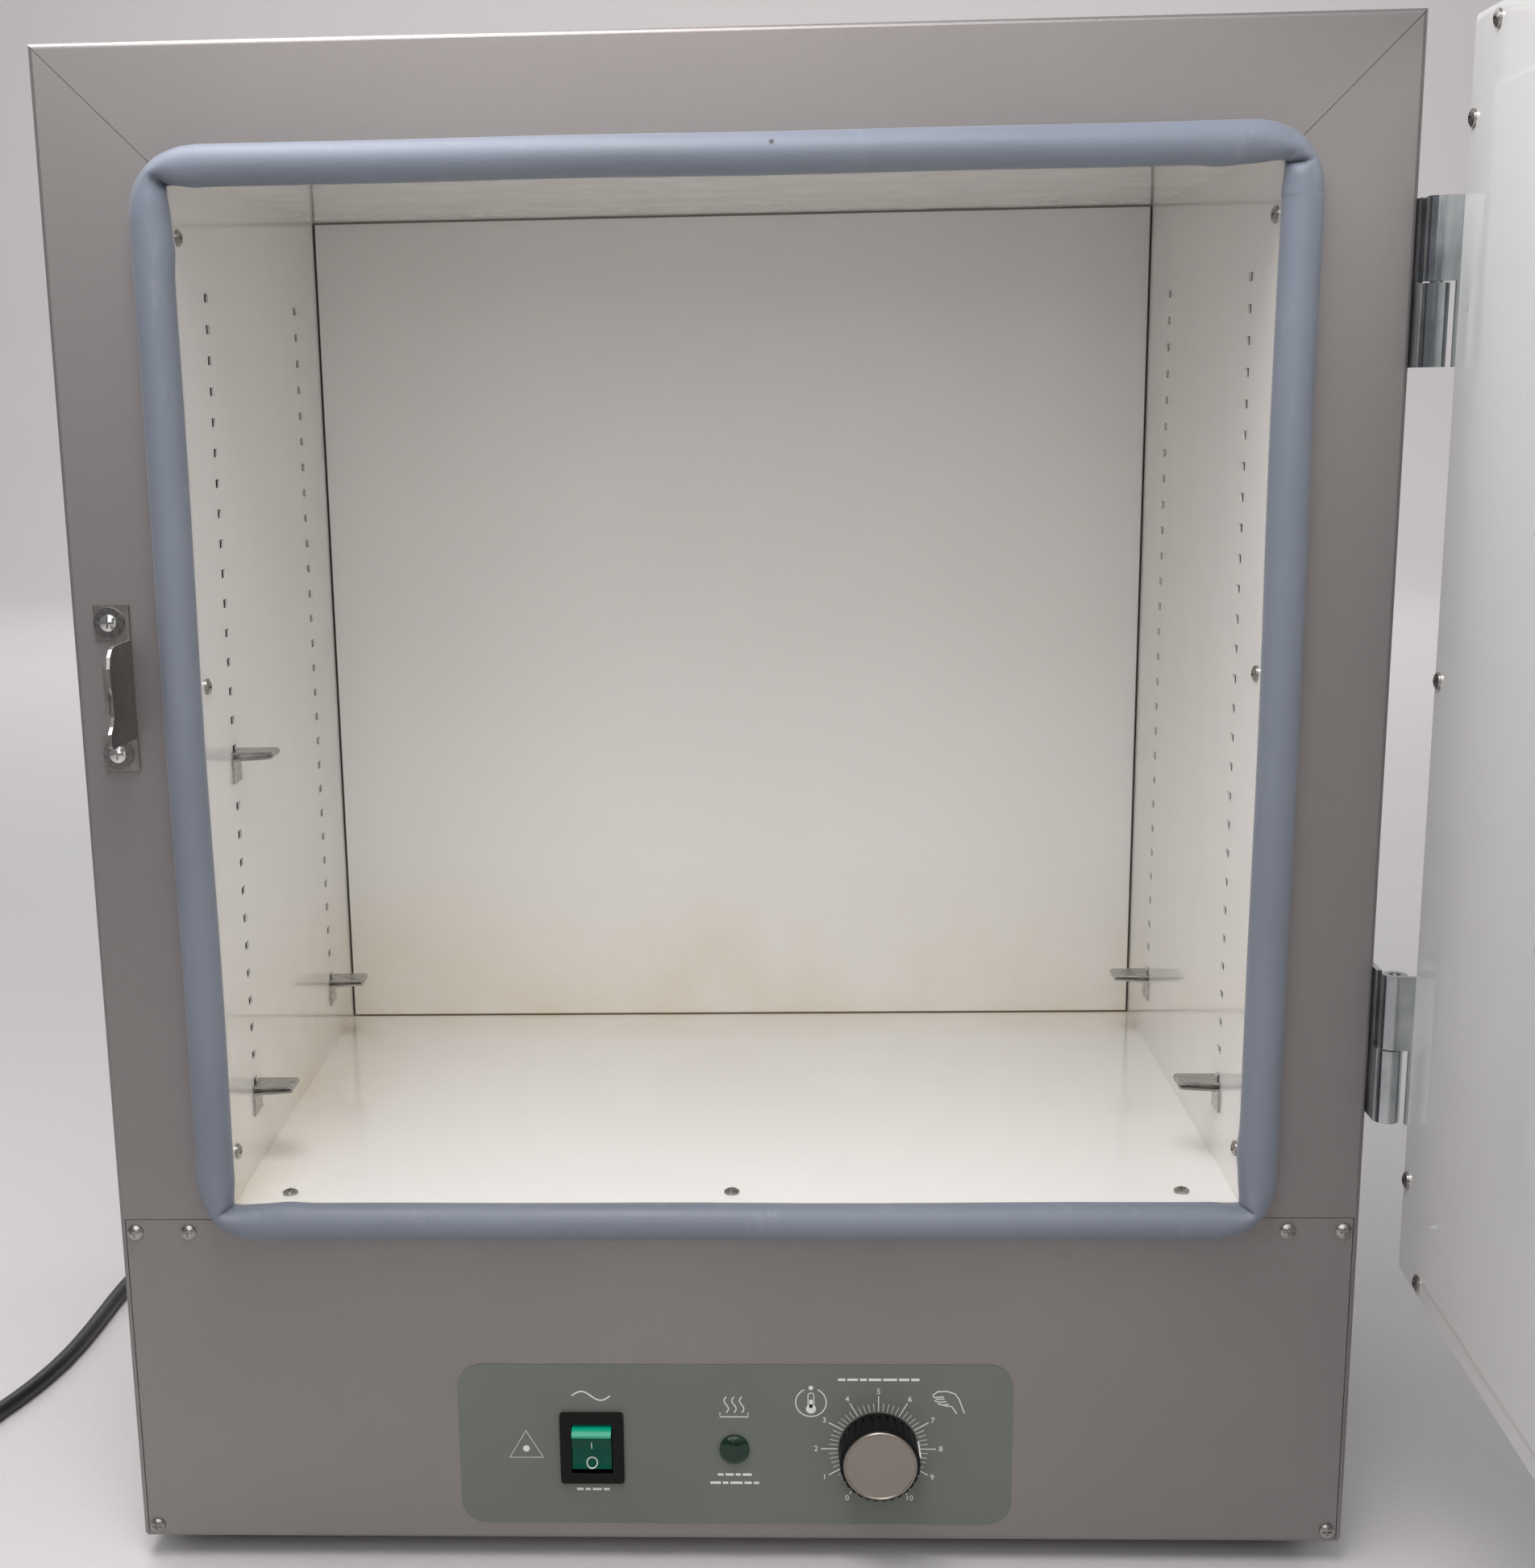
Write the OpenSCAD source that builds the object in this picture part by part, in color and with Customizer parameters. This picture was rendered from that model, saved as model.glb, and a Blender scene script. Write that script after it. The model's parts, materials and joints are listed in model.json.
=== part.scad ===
// Bench-top laboratory incubator with a glazed-white enamel chamber and a side-hinged door.
// Origin: on the floor under the middle of the casing. +Z up, -Y towards the user, +X right.
// Every module works from the front plane of the casing, y = 0, and at_front() moves it home.

/* [Casing] */
// Width of the casing
case_w = 534; // [420:1:640]
// Depth of the casing
case_d = 350; // [320:1:450]
// Height of the casing, without its feet
case_h = 634; // [560:1:760]
// Thickness of the casing's sheet steel
sheet = 1.2; // [0.8:0.1:2]
// Outer radius of the casing's bends
bend_r = 2; // [1.5:0.1:4]
// Height of the rubber feet
foot_h = 10.5; // [8:0.5:25]

/* [Chamber] */
// Clear width inside
chamber_w = 432; // [300:1:500]
// Clear height inside
chamber_h = 428; // [300:1:500]
// Clear depth inside
chamber_d = 290; // [250:1:400]
// Height of the chamber's floor above the casing's bottom edge
chamber_z = 158; // [150:1:200]
// Pitch of the shelf slots
slot_pitch = 12.7; // [10:0.1:25]
// Number of slots in each column
slot_count = 28; // [10:1:28]

/* [Door] */
// Angle at which the door stands open
door_open = 88; // [0:1:170]
// Thickness of the door
door_t = 38; // [30:1:60]
// Diameter of the tubular gasket
gasket_d = 16; // [10:1:20]
// Diameter of the hinge barrels
barrel_d = 10; // [8:0.5:14]

/* [Controls] */
// Width of the control overlay
overlay_w = 244; // [200:1:300]
// Height of the control overlay
overlay_h = 76.5; // [60:0.5:90]
// Diameter of the knob's skirt
knob_d = 35; // [25:1:45]
// Diameter of the indicator lens
lens_d = 13.2; // [10:0.1:16]

/* [Mains cord] */
// Diameter of the cord
cord_d = 8.4; // [6:0.2:10]

/* [Part to show] */
// One node on its own, or all of them

/* [Hidden] */
$fn = 64;
e = 0.01;
half_w = case_w / 2;
pan_t = 1.5;
z_base = foot_h + pan_t;
z_top = z_base + case_h;
z_floor = z_base + chamber_z;
z_ceiling = z_floor + chamber_h;
half_c = chamber_w / 2;
liner_t = 1;
liner_d = chamber_d - 0.8;
seam = 0.3;

// Front frame: the liner's flange, the slot that holds the gasket, and the casing's flange
liner_flange = 10;
liner_flange_y = 1.6;
frame_gap = 2;
side_frame_w = half_w - half_c - frame_gap;
side_backing_w = 35;
case_flange = 16;
mitre = 60;
panel_flange_half = 228;
panel_flange_d = 12;
top_frame_w = z_top - z_ceiling - frame_gap;
panel_top = z_floor - 7.3;
gasket_r = gasket_d / 2;
gasket_x = half_c + 5.2;
gasket_lo = z_floor - 5.2;
gasket_hi = z_ceiling + 0.8;
gasket_bend = 20;

// Screws
head_r = 3.35;
head_h = 2.2;
shank_r = 1.6;
hole_r = 1.8;
panel_screws_at = [
    for (s = [-1, 1]) each [
        [s * 260.5, z_base + 4.3],
        [s * 260.5, panel_top - 5.6],
        [s * 237, panel_top - 5.6]
    ]
];
rear_screws_z = [z_base + 30, z_base + 215, z_base + 400, z_base + 585];
rear_screw_in = 8;
liner_screw_y = 10.5;
liner_screws_z = [z_floor + 20.5, z_floor + 224.5, z_ceiling - 24.5];
liner_screws_x = [-194, 0, 194];

// Underside and back
feet_at = [
    for (x = [-half_w + 34, half_w - 34], y = [32, case_d - 32])
        [x, y]
];
stud_x = [-237, -81, 81, 237];
stud_y = 8;
vent_x = [-120, -60, 0, 60, 120];

// Shelf slots and clips
slot_top = z_ceiling - 46;
slot_y = [52, 232];
slot_w = 6.4;
slot_h = 3.6;
clip_w = 14;
clip_l = 18.5;
clip_t = 1;
clips_at = [[-1, 0, 27], [-1, 1, 27], [1, 0, 27], [1, 1, 27], [-1, 0, 15]];

// Controls on the panel
control_z = z_base + 43;
overlay_z = z_base + 6.5;
switch_x = -63;
switch_w = 28.2;
switch_h = 33.6;
switch_z = z_base + 43.5;
tub_w = 22;
tub_h = 30;
tub_d = 24;
rocker_w = 17.4;
rocker_h = 22.6;
rocker_tilt = 9;
rocker_axis_y = 2.6;
lamp_x = 0;
dial_x = 63.4;
shaft_r = 3;
knob_out = 17;
knob_value_angle = 78;

// Heater: runs of one sheathed rod, side by side under the chamber
heater_z = z_base + 118;
heater_pitch = 36;
heater_runs = [for (i = [0:5]) 60 + heater_pitch * i];
heater_half = 150;
heater_r = 4;

// Hinges and door
leaf_out = 5.6;
axis_x = half_w + leaf_out;
axis_y = -10;
barrel_r = barrel_d / 2;
pin_r = 2.5;
pin_gap = 0.05;
leaf_t = 2.2;
leaf_h = 63;
leaf_w = 30;
leaf_holes_z = [12, leaf_h - 12];
leaf_hole_y = axis_y + 24;
knuckle_gap = 0.6;
hinges_z = [z_base + 198, z_base + 502.5];
door_in = gasket_d + 0.3;
door_x0 = -half_w + 26.5;
door_x1 = half_w;
door_z0 = z_base + 135.5;
door_z1 = z_base + 628.5;
plateau = 1;
plateau_in = [10, 29];
door_back = door_in + plateau;
door_front = door_back + door_t;
door_mid_x = (door_x0 + door_x1) / 2;
door_screw_in = 5.5;
door_screws_z = [z_base + 176, z_base + 383, z_base + 592];
door_screws_at = [
    for (x = [door_x0 + door_screw_in, door_x1 - door_screw_in], z = door_screws_z)
        [x, z],
    for (x = [door_x0 + 30, door_mid_x, door_x1 - 30], z = [door_z0 + door_screw_in, door_z1 - door_screw_in])
        [x, z]
];

// Strike and latch
strike_x = -half_w + 15.8;
strike_z = [z_base + 356.5, z_base + 410.8];
strike_wall_x = -half_w + 24;
strike_mid = (strike_z[0] + strike_z[1]) / 2;
latch_x = -half_w + 24;
latch_y = -door_front - 6.7;
latch_hub_r = 5.5;
latch_pin_r = 2.4;
latch_screw_x = latch_x + 34;
latch_lo = strike_mid - 24;
latch_hi = strike_mid + 32;
latch_screws_z = [latch_lo + 9, latch_hi - 9];
latched_turn = -30;
finger_l = 36;
finger_t = 4;

// Mains cord: route along the floor, from the gland at the back to the coil at the left
gland_x = -60;
gland_z = z_base + 38;
gland_l = 32;
cord_r = cord_d / 2;
cord_route = [
    [-60, 385, 50], [-60.5, 396, 49.5], [-63, 409, 46.5], [-68, 421, 40], [-77, 431, 31],
    [-89, 438.5, 21.5], [-104, 443.5, 13.5], [-122, 446, 7.5], [-142, 447, 4.8], [-164, 447, 4.3],
    [-188, 446.5, 4.3], [-212, 445, 4.3], [-236, 441.5, 4.3], [-260, 435, 4.3], [-283, 425, 4.3],
    [-303, 412, 4.3], [-321, 395, 4.3], [-336, 376, 4.3], [-347, 355, 4.3], [-355, 332, 4.3],
    [-359, 308, 4.3], [-361, 282, 4.3], [-362, 256, 4.3], [-363, 230, 4.3], [-365, 204, 4.3],
    [-369, 178, 4.3], [-375, 153, 4.3], [-383, 128, 4.3], [-390, 104, 4.3], [-394.5, 84, 4.3],
    [-395.8, 70, 4.3]
];
cord_sides = 12;
coil_r = 50;
coil_x = -450;
coil_y = 70;

// Colours
grey_paint = [0.62, 0.59, 0.585];
enamel = [0.85, 0.84, 0.79];
door_white = [0.8, 0.81, 0.8];
zinc = [0.72, 0.74, 0.76];
steel = [0.66, 0.66, 0.66];
dark_steel = [0.25, 0.24, 0.24];
black = [0.05, 0.05, 0.055];
slate = [0.3, 0.33, 0.31];
rubber_blue = [0.5, 0.55, 0.62];
wool = [0.9, 0.85, 0.62];

// ---------- shared shapes ----------

module at_front() {
    translate([0, -case_d / 2, 0])
        children();
}

// Turns what is drawn closed to the angle at which the door stands
module door_turn() {
    translate([axis_x, axis_y, 0])
        rotate([0, 0, door_open])
            translate([-axis_x, -axis_y, 0])
                children();
}

// Box from its low corner to its high corner
module span(low, high) {
    translate(low)
        cube(high - low);
}

// Rod along y from y0 to y1
module rod_y(x, z, r, y0, y1) {
    translate([x, y0, z])
        rotate([-90, 0, 0])
            cylinder(r = r, h = y1 - y0);
}

// Rod along x from x0 to x1
module rod_x(y, z, r, x0, x1) {
    translate([x0, y, z])
        rotate([0, 90, 0])
            cylinder(r = r, h = x1 - x0);
}

// Folded sheet seen along the fold: legs a along x and b along y, outer corner at the origin
module fold_2d(a, b, t, r) {
    difference() {
        union() {
            translate([r, 0])
                square([a - r, t]);
            translate([0, r])
                square([t, b - r]);
            intersection() {
                translate([r, r])
                    circle(r);
                square(r);
            }
        }
        translate([r, r])
            circle(r - t);
    }
}

// Rounded rectangle centred on x, from y = 0
module round_rect_2d(w, h, r) {
    translate([-w / 2 + r, 0])
        square([w - 2 * r, h]);
    translate([-w / 2, r])
        square([w, h - 2 * r]);
    for (x = [-w / 2 + r, w / 2 - r], y = [r, h - r])
        translate([x, y])
            circle(r);
}

// Pan-head screw with its head's seat at z = 0, head up and shank down
module pan_screw(r = head_r, h = head_h, shank = shank_r, length = 8) {
    difference() {
        rotate_extrude()
            intersection() {
                translate([0, h - r * 1.6])
                    circle(r * 1.6);
                square([r, h]);
            }
        for (a = [0, 90])
            rotate([0, 0, a])
                translate([-r * 0.62, -0.4, h - 1.1])
                    cube([r * 1.24, 0.8, 2]);
    }
    translate([0, 0, -length])
        cylinder(r = shank, h = length + e);
}

// Screw that comes in along +y, with its head's seat at the given y
module screw_in_y(x, y, z, length = 8, r = head_r) {
    translate([x, y, z])
        rotate([90, 0, 0])
            pan_screw(r = r, length = length);
}

// Screw that points outwards from the chamber or the casing along x
module screw_in_x(x, y, z, side, length = 8, r = head_r) {
    translate([x, y, z])
        rotate([0, side * -90, 0])
            pan_screw(r = r, length = length);
}

// ---------- casing ----------

// Left side of the casing: front flange, mitred at the top, side wall and the inner flanges
module case_side_left() {
    wall_x = -half_w;
    difference() {
        union() {
            intersection() {
                translate([wall_x, 0, z_base])
                    linear_extrude(case_h)
                        fold_2d(side_frame_w, case_d - sheet, sheet, bend_r);
                side_of_mitre();
            }
            span([wall_x + sheet - e, sheet, z_base],
                 [wall_x + side_backing_w, 2 * sheet, panel_top]);
            span([wall_x + sheet - e, case_d - 2 * sheet, z_base],
                 [wall_x + case_flange, case_d - sheet, z_top - case_flange]);
            span([wall_x + sheet - e, 2 * sheet, z_base],
                 [wall_x + case_flange + 2, case_d - 2 * sheet, z_base + sheet]);
        }
        span([wall_x + 2.2, -1, z_base - 1], [0, sheet, panel_top + seam]);
        for (p = panel_screws_at)
            rod_y(p[0], p[1], hole_r, -1, 6);
        for (z = rear_screws_z)
            rod_y(wall_x + rear_screw_in, z, hole_r, case_d - 6, case_d);
    }
}

// Everything to the side of the top corner's mitre line
module side_of_mitre() {
    translate([0, case_d, 0])
        rotate([90, 0, 0])
            linear_extrude(case_d + 1)
                polygon([
                    [-half_w - 1, z_base - 1], [-half_w - 1, z_top + 1 - seam],
                    [-half_w + mitre, z_top - mitre - seam], [-half_w + mitre, z_base - 1]
                ]);
}

module case_left_side() {
    color(grey_paint)
        at_front()
            difference() {
                case_side_left();
                for (z = strike_z)
                    rod_y(strike_x, z, hole_r, -1, 6);
            }
}

module case_right_side() {
    color(grey_paint)
        at_front()
            difference() {
                mirror([1, 0, 0])
                    case_side_left();
                for (h = hinges_z, z = leaf_holes_z)
                    rod_x(leaf_hole_y, h + z, hole_r, half_w - 4, half_w + 1);
            }
}

module case_top() {
    color(grey_paint)
        at_front() {
            intersection() {
                translate([-half_w, 0, z_top])
                    rotate([90, 0, 90])
                        mirror([0, 1, 0])
                            linear_extrude(case_w)
                                mirror([1, -1, 0])
                                    fold_2d(top_frame_w, case_d - sheet, sheet, bend_r);
                translate([0, case_d, 0])
                    rotate([90, 0, 0])
                        linear_extrude(case_d + 1)
                            polygon([
                                [-half_w, z_top], [half_w, z_top],
                                [half_w - mitre, z_top - mitre], [-half_w + mitre, z_top - mitre]
                            ]);
            }
            span([-half_w + case_flange + 2, case_d - 2 * sheet, z_top - case_flange],
                 [half_w - case_flange - 2, case_d - sheet, z_top - sheet + e]);
        }
}

module bottom_pan() {
    color(grey_paint)
        at_front()
            difference() {
                union() {
                    span([-half_w + 1, 1.5, z_base - pan_t], [half_w - 1, case_d - 1.5, z_base]);
                    span([-half_w + 20, case_d - 8, z_base - e], [half_w - 20, case_d - 6.8, z_base + 14]);
                }
                for (p = feet_at)
                    translate([p[0], p[1], z_base - 3])
                        cylinder(r = hole_r + 0.2, h = 6);
                for (x = stud_x)
                    translate([x, stud_y, z_base - 3])
                        cylinder(r = hole_r, h = 6);
                for (x = vent_x, y = [140, 200, 260])
                    span([x - 20, y, z_base - 3], [x + 20, y + 4, z_base + 1]);
            }
}

module rear_panel() {
    color(grey_paint)
        at_front()
            difference() {
                span([-half_w + 0.5, case_d - sheet, z_base + 0.5],
                     [half_w - 0.5, case_d, z_top - 0.5]);
                rod_y(gland_x, gland_z, 7.2, case_d - 3, case_d + 1);
                for (z = rear_screws_z, s = [-1, 1])
                    rod_y(s * (half_w - rear_screw_in), z, hole_r, case_d - 3, case_d + 1);
                for (x = vent_x, i = [0:3])
                    span([x - 18, case_d - 3, z_base + 60 + 12 * i],
                         [x + 18, case_d + 1, z_base + 64 + 12 * i]);
            }
}

module rear_screws() {
    color(dark_steel)
        at_front()
            for (z = rear_screws_z, s = [-1, 1])
                translate([s * (half_w - rear_screw_in), case_d, z])
                    rotate([-90, 0, 0])
                        pan_screw(length = 5);
}

// Removable control panel, which closes the electrical compartment
module control_panel() {
    edge = half_w - 2.6;
    flange = panel_flange_half;
    z_lo = z_base + 0.4;
    color(grey_paint)
        at_front()
            difference() {
                union() {
                    span([-edge, 0, z_lo], [edge, sheet, panel_top]);
                    for (z = [z_lo, panel_top - sheet])
                        span([-flange, sheet - e, z], [flange, panel_flange_d, z + sheet]);
                }
                for (p = panel_screws_at)
                    rod_y(p[0], p[1], hole_r, -1, 3);
                for (x = stud_x)
                    translate([x, stud_y, z_lo - 1])
                        cylinder(r = hole_r, h = sheet + 2);
                span([switch_x - tub_w / 2 - 0.2, -1, switch_z - tub_h / 2 - 0.2],
                     [switch_x + tub_w / 2 + 0.2, 3, switch_z + tub_h / 2 + 0.2]);
                rod_y(lamp_x, control_z, 6.2, -1, 3);
                rod_y(dial_x, control_z, 4.2, -1, 3);
            }
}

module panel_screws() {
    color(dark_steel)
        at_front()
            for (p = panel_screws_at)
                screw_in_y(p[0], 0, p[1], 5);
}

// Printed plastic label behind the controls
module control_overlay() {
    color(slate)
        at_front()
            difference() {
                translate([0, 0, overlay_z])
                    rotate([90, 0, 0])
                        linear_extrude(0.4)
                            round_rect_2d(overlay_w, overlay_h, 11);
                span([switch_x - tub_w / 2 - 0.4, -1, switch_z - tub_h / 2 - 0.4],
                     [switch_x + tub_w / 2 + 0.4, 1, switch_z + tub_h / 2 + 0.4]);
                rod_y(lamp_x, control_z, 6.4, -1, 1);
                rod_y(dial_x, control_z, 4.4, -1, 1);
            }
}

// ---------- switch, lamp, thermostat ----------

module switch_body() {
    well_w = rocker_w + 0.8;
    well_h = rocker_h + 0.8;
    color(black)
        at_front()
            difference() {
                union() {
                    translate([switch_x, -0.4, switch_z - switch_h / 2])
                        rotate([90, 0, 0])
                            linear_extrude(2)
                                round_rect_2d(switch_w, switch_h, 1.5);
                    span([switch_x - tub_w / 2, -0.4 - e, switch_z - tub_h / 2],
                         [switch_x + tub_w / 2, tub_d, switch_z + tub_h / 2]);
                    for (x = [-6, 6], z = [-8, 0, 8])
                        span([switch_x + x - 0.4, tub_d - e, switch_z + z - 2.4],
                             [switch_x + x + 0.4, tub_d + 8, switch_z + z + 2.4]);
                }
                span([switch_x - well_w / 2, -6, switch_z - well_h / 2],
                     [switch_x + well_w / 2, tub_d / 2, switch_z + well_h / 2]);
            }
}

// Rocker seen from its side: round back about its pivot, dished face, "O" end pressed in
module rocker() {
    face = 15.5;
    color([0.05, 0.45, 0.3])
        at_front()
            translate([switch_x, rocker_axis_y, switch_z])
                rotate([rocker_tilt, 0, 0])
                    rotate([90, 0, -90])
                        translate([0, 0, -rocker_w / 2])
                            linear_extrude(rocker_w)
                                difference() {
                                    intersection() {
                                        circle(rocker_h / 2 - 0.4);
                                        translate([-6.2, -rocker_h / 2])
                                            square([15, rocker_h]);
                                    }
                                    translate([face + 5.2, 0])
                                        circle(face);
                                }
}

module lamp_body() {
    color(black)
        at_front() {
            rod_y(lamp_x, control_z, 6, -0.4, 26);
            rod_y(lamp_x, control_z, 9, sheet, 5);
            for (x = [-3, 3])
                rod_y(lamp_x + x, control_z, 0.9, 26 - e, 34);
        }
}

module lamp_lens() {
    color([0.02, 0.16, 0.1])
        at_front()
            translate([lamp_x, -0.4, control_z])
                rotate([90, 0, 0])
                    rotate_extrude()
                        intersection() {
                            translate([0, 3.4 - 13])
                                circle(13);
                            square([lens_d / 2, 4]);
                        }
}

module thermostat() {
    color(steel)
        at_front()
            difference() {
                union() {
                    rod_y(dial_x, control_z, 4, -0.4, 9);
                    span([dial_x - 17, 6, control_z - 17], [dial_x + 17, 34, control_z + 17]);
                    rod_y(dial_x, control_z, 7, sheet, 6 + e);
                    for (x = [-9, 9])
                        span([dial_x + x - 2.4, 34 - e, control_z - 12],
                             [dial_x + x + 2.4, 42, control_z - 11.2]);
                }
                rod_y(dial_x, control_z, shaft_r + 0.05, -1, 16);
            }
}

module thermostat_shaft() {
    color(steel)
        at_front()
            rod_y(dial_x, control_z, shaft_r, -13, 15.5);
}

// Thin tube from the thermostat to the sensing bulb clipped under the chamber's floor
module capillary() {
    tube_r = 0.9;
    bend = 12;
    z_start = control_z + 6;
    z_end = z_floor - 21;
    y_rise = 78;
    y_bulb = 180;
    color([0.7, 0.42, 0.25])
        at_front() {
            rod_y(dial_x, z_start, tube_r, 34, y_rise - bend);
            capillary_bend(y_rise - bend, z_start + bend, 90, tube_r, bend);
            translate([dial_x, y_rise, z_start + bend])
                cylinder(r = tube_r, h = z_end - z_start - 2 * bend);
            capillary_bend(y_rise + bend, z_end - bend, 270, tube_r, bend);
            rod_y(dial_x, z_end, tube_r, y_rise + bend, y_bulb);
            rod_y(dial_x, z_end, 3.2, y_bulb, y_bulb + 80);
        }
}

// Quarter bend in the y-z plane about the given centre; turn 90 leaves +y and ends up +z
module capillary_bend(y, z, turn, tube_r, bend) {
    translate([dial_x, y, z])
        rotate([0, 90, 0])
            rotate([0, 0, turn - 90])
                rotate_extrude(angle = 90)
                    translate([bend, 0])
                        circle(tube_r);
}

module knob_skirt() {
    flute_r = 0.9;
    color(black)
        at_front()
            translate([dial_x, 0, control_z])
                rotate([90, 0, 0])
                    difference() {
                        translate([0, 0, 1])
                            cylinder(r = knob_d / 2, h = knob_out - 3);
                        for (i = [0:29])
                            rotate([0, 0, i * 12 + 6])
                                translate([knob_d / 2 + 0.35, 0, 3.5])
                                    cylinder(r = flute_r, h = knob_out);
                        translate([0, 0, -1])
                            cylinder(r = shaft_r + 0.02, h = 14.02);
                        translate([0, 0, -1])
                            cylinder(r = 6, h = 5);
                    }
}

// Spun aluminium disc on the knob's face
module knob_cap() {
    color([0.78, 0.77, 0.74])
        at_front()
            translate([dial_x, -knob_out + 2, control_z])
                rotate([90, 0, 0])
                    rotate_extrude()
                        polygon([[0, 0], [16, 0], [16, 1.6], [15.6, 2], [15.1, 2], [14.8, 1.7], [0, 1.7]]);
}

// White pointer: a line let into the skirt's rim, seen from the front at the set value
module knob_pointer() {
    color([0.92, 0.92, 0.9])
        at_front()
            translate([dial_x, 0, control_z])
                rotate([90, 0, 0])
                    rotate([0, 0, 90 - knob_value_angle])
                        translate([knob_d / 2 - 0.02, -0.7, 1.4])
                            cube([0.7, 1.4, knob_out - 3.8]);
}

// ---------- heater and wiring ----------

// Sheathed heater: straight runs joined by half-round ends, with a cold leg at each end
module heating_element() {
    color([0.35, 0.33, 0.31])
        at_front() {
            for (y = heater_runs)
                rod_x(y, heater_z, heater_r, -heater_half, heater_half);
            for (i = [0:4])
                let (side = i % 2 == 0 ? 1 : -1)
                    translate([side * (heater_half - e), heater_runs[i] + heater_pitch / 2, heater_z])
                        rotate([0, 0, side * -90])
                            rotate_extrude(angle = 180)
                                translate([heater_pitch / 2, 0])
                                    circle(heater_r);
            for (y = [heater_runs[0], heater_runs[5]])
                translate([-heater_half, y, heater_z])
                    rotate([0, -90, 0])
                        cylinder(r = heater_r * 0.6, h = 26);
        }
}

// Two folded strips the rods pass through, each on a leg at its front and back end
module heater_brackets() {
    t = 1.5;
    leg_w = 12;
    fold_w = 14;
    y0 = heater_runs[0] - 16;
    y1 = heater_runs[5] + 18;
    color(zinc)
        at_front()
            for (x = [-100, 100])
                difference() {
                    union() {
                        span([x - 1, y0, heater_z - 14], [x + 1, y1, heater_z + 9]);
                        span([x - 1, y0, heater_z - 14], [x + fold_w, y1, heater_z - 14 + t]);
                        for (y = [y0, y1 - leg_w]) {
                            span([x - 1, y, z_base], [x + 1, y + leg_w, heater_z - 13]);
                            span([x - 1, y, z_base], [x + fold_w, y + leg_w, z_base + t]);
                        }
                    }
                    for (y = heater_runs)
                        rod_x(y, heater_z, heater_r, x - 3, x + 3);
                }
}

// Row of five terminals on the pan, each with a screw well and a way through for its wires
module terminal_block() {
    pitch = 12;
    w = 60;
    d = 22;
    h = 18;
    color([0.85, 0.83, 0.76])
        at_front()
            translate([-205, 200, z_base])
                difference() {
                    cube([w, d, h]);
                    for (i = [0:4]) {
                        translate([pitch * i + 6, d / 2, h / 2])
                            cylinder(r = 3, h = h);
                        rod_y(pitch * i + 6, 7, 1.8, -10, d + 8);
                    }
                }
}

// ---------- chamber liner ----------

module liner_side() {
    x = -half_c;
    difference() {
        union() {
            span([x - liner_t, 0, z_floor - liner_t], [x, liner_d, z_ceiling + liner_t]);
            span([x - liner_flange, liner_flange_y, z_floor],
                 [x - liner_t + e, liner_flange_y + liner_t, z_ceiling]);
        }
        for (y = slot_y, i = [0 : slot_count - 1])
            span([x - 3, y - slot_w / 2, slot_top - slot_pitch * i - slot_h / 2],
                 [x + 1, y + slot_w / 2, slot_top - slot_pitch * i + slot_h / 2]);
        for (z = liner_screws_z)
            rod_x(liner_screw_y, z, hole_r, x - 3, x + 1);
    }
}

module liner_left() {
    color(enamel)
        at_front()
            liner_side();
}

module liner_right() {
    color(enamel)
        at_front()
            mirror([1, 0, 0])
                liner_side();
}

module liner_top() {
    color(enamel)
        at_front()
            difference() {
                union() {
                    span([-half_c, 0, z_ceiling], [half_c, liner_d, z_ceiling + liner_t]);
                    span([-half_c, liner_flange_y, z_ceiling],
                         [half_c, liner_flange_y + liner_t, z_ceiling + liner_flange]);
                }
                for (x = liner_screws_x)
                    translate([x, liner_screw_y + 2, z_ceiling - 1])
                        cylinder(r = hole_r, h = 4);
            }
}

module liner_floor() {
    color(enamel)
        at_front()
            difference() {
                union() {
                    span([-half_c, 0, z_floor - liner_t], [half_c, liner_d, z_floor]);
                    span([-half_c, 0, panel_top + seam], [half_c, liner_t, z_floor]);
                }
                for (x = liner_screws_x)
                    translate([x, liner_screw_y + 2, z_floor - 3])
                        cylinder(r = hole_r, h = 4);
            }
}

module liner_rear() {
    color(enamel)
        at_front()
            span([-half_c - liner_t, chamber_d, z_floor - liner_t],
                 [half_c + liner_t, chamber_d + liner_t, z_ceiling + liner_t]);
}

module liner_screws() {
    color(dark_steel)
        at_front() {
            for (z = liner_screws_z, s = [-1, 1])
                screw_in_x(s * half_c, liner_screw_y, z, s, 7);
            for (x = liner_screws_x) {
                translate([x, liner_screw_y + 2, z_ceiling])
                    rotate([180, 0, 0])
                        pan_screw(length = 7);
                translate([x, liner_screw_y + 2, z_floor])
                    pan_screw(length = 5);
            }
        }
}

// Shelf clip seen along y, wall at x = 0: hook, top plate, hairpin, return and leg
module clip_2d() {
    tip_r = 1.5;
    translate([0, -clip_t - 0.6])
        square([clip_l - tip_r, clip_t]);
    translate([-3.2, -clip_t - 0.6])
        square([3.2 + e, clip_t]);
    translate([clip_l - tip_r, -0.6 - tip_r])
        intersection() {
            difference() {
                circle(tip_r);
                circle(tip_r - clip_t);
            }
            translate([-e, -2 * tip_r])
                square([2 * tip_r, 4 * tip_r]);
        }
    polygon([
        [clip_l - tip_r, -0.6 - 2 * tip_r], [clip_l - tip_r, -0.6 - 2 * tip_r + clip_t],
        [clip_t, -3.6], [0, -4.6], [1.6, -4.6]
    ]);
    translate([0, -14.5])
        square([clip_t, 11]);
}

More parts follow.
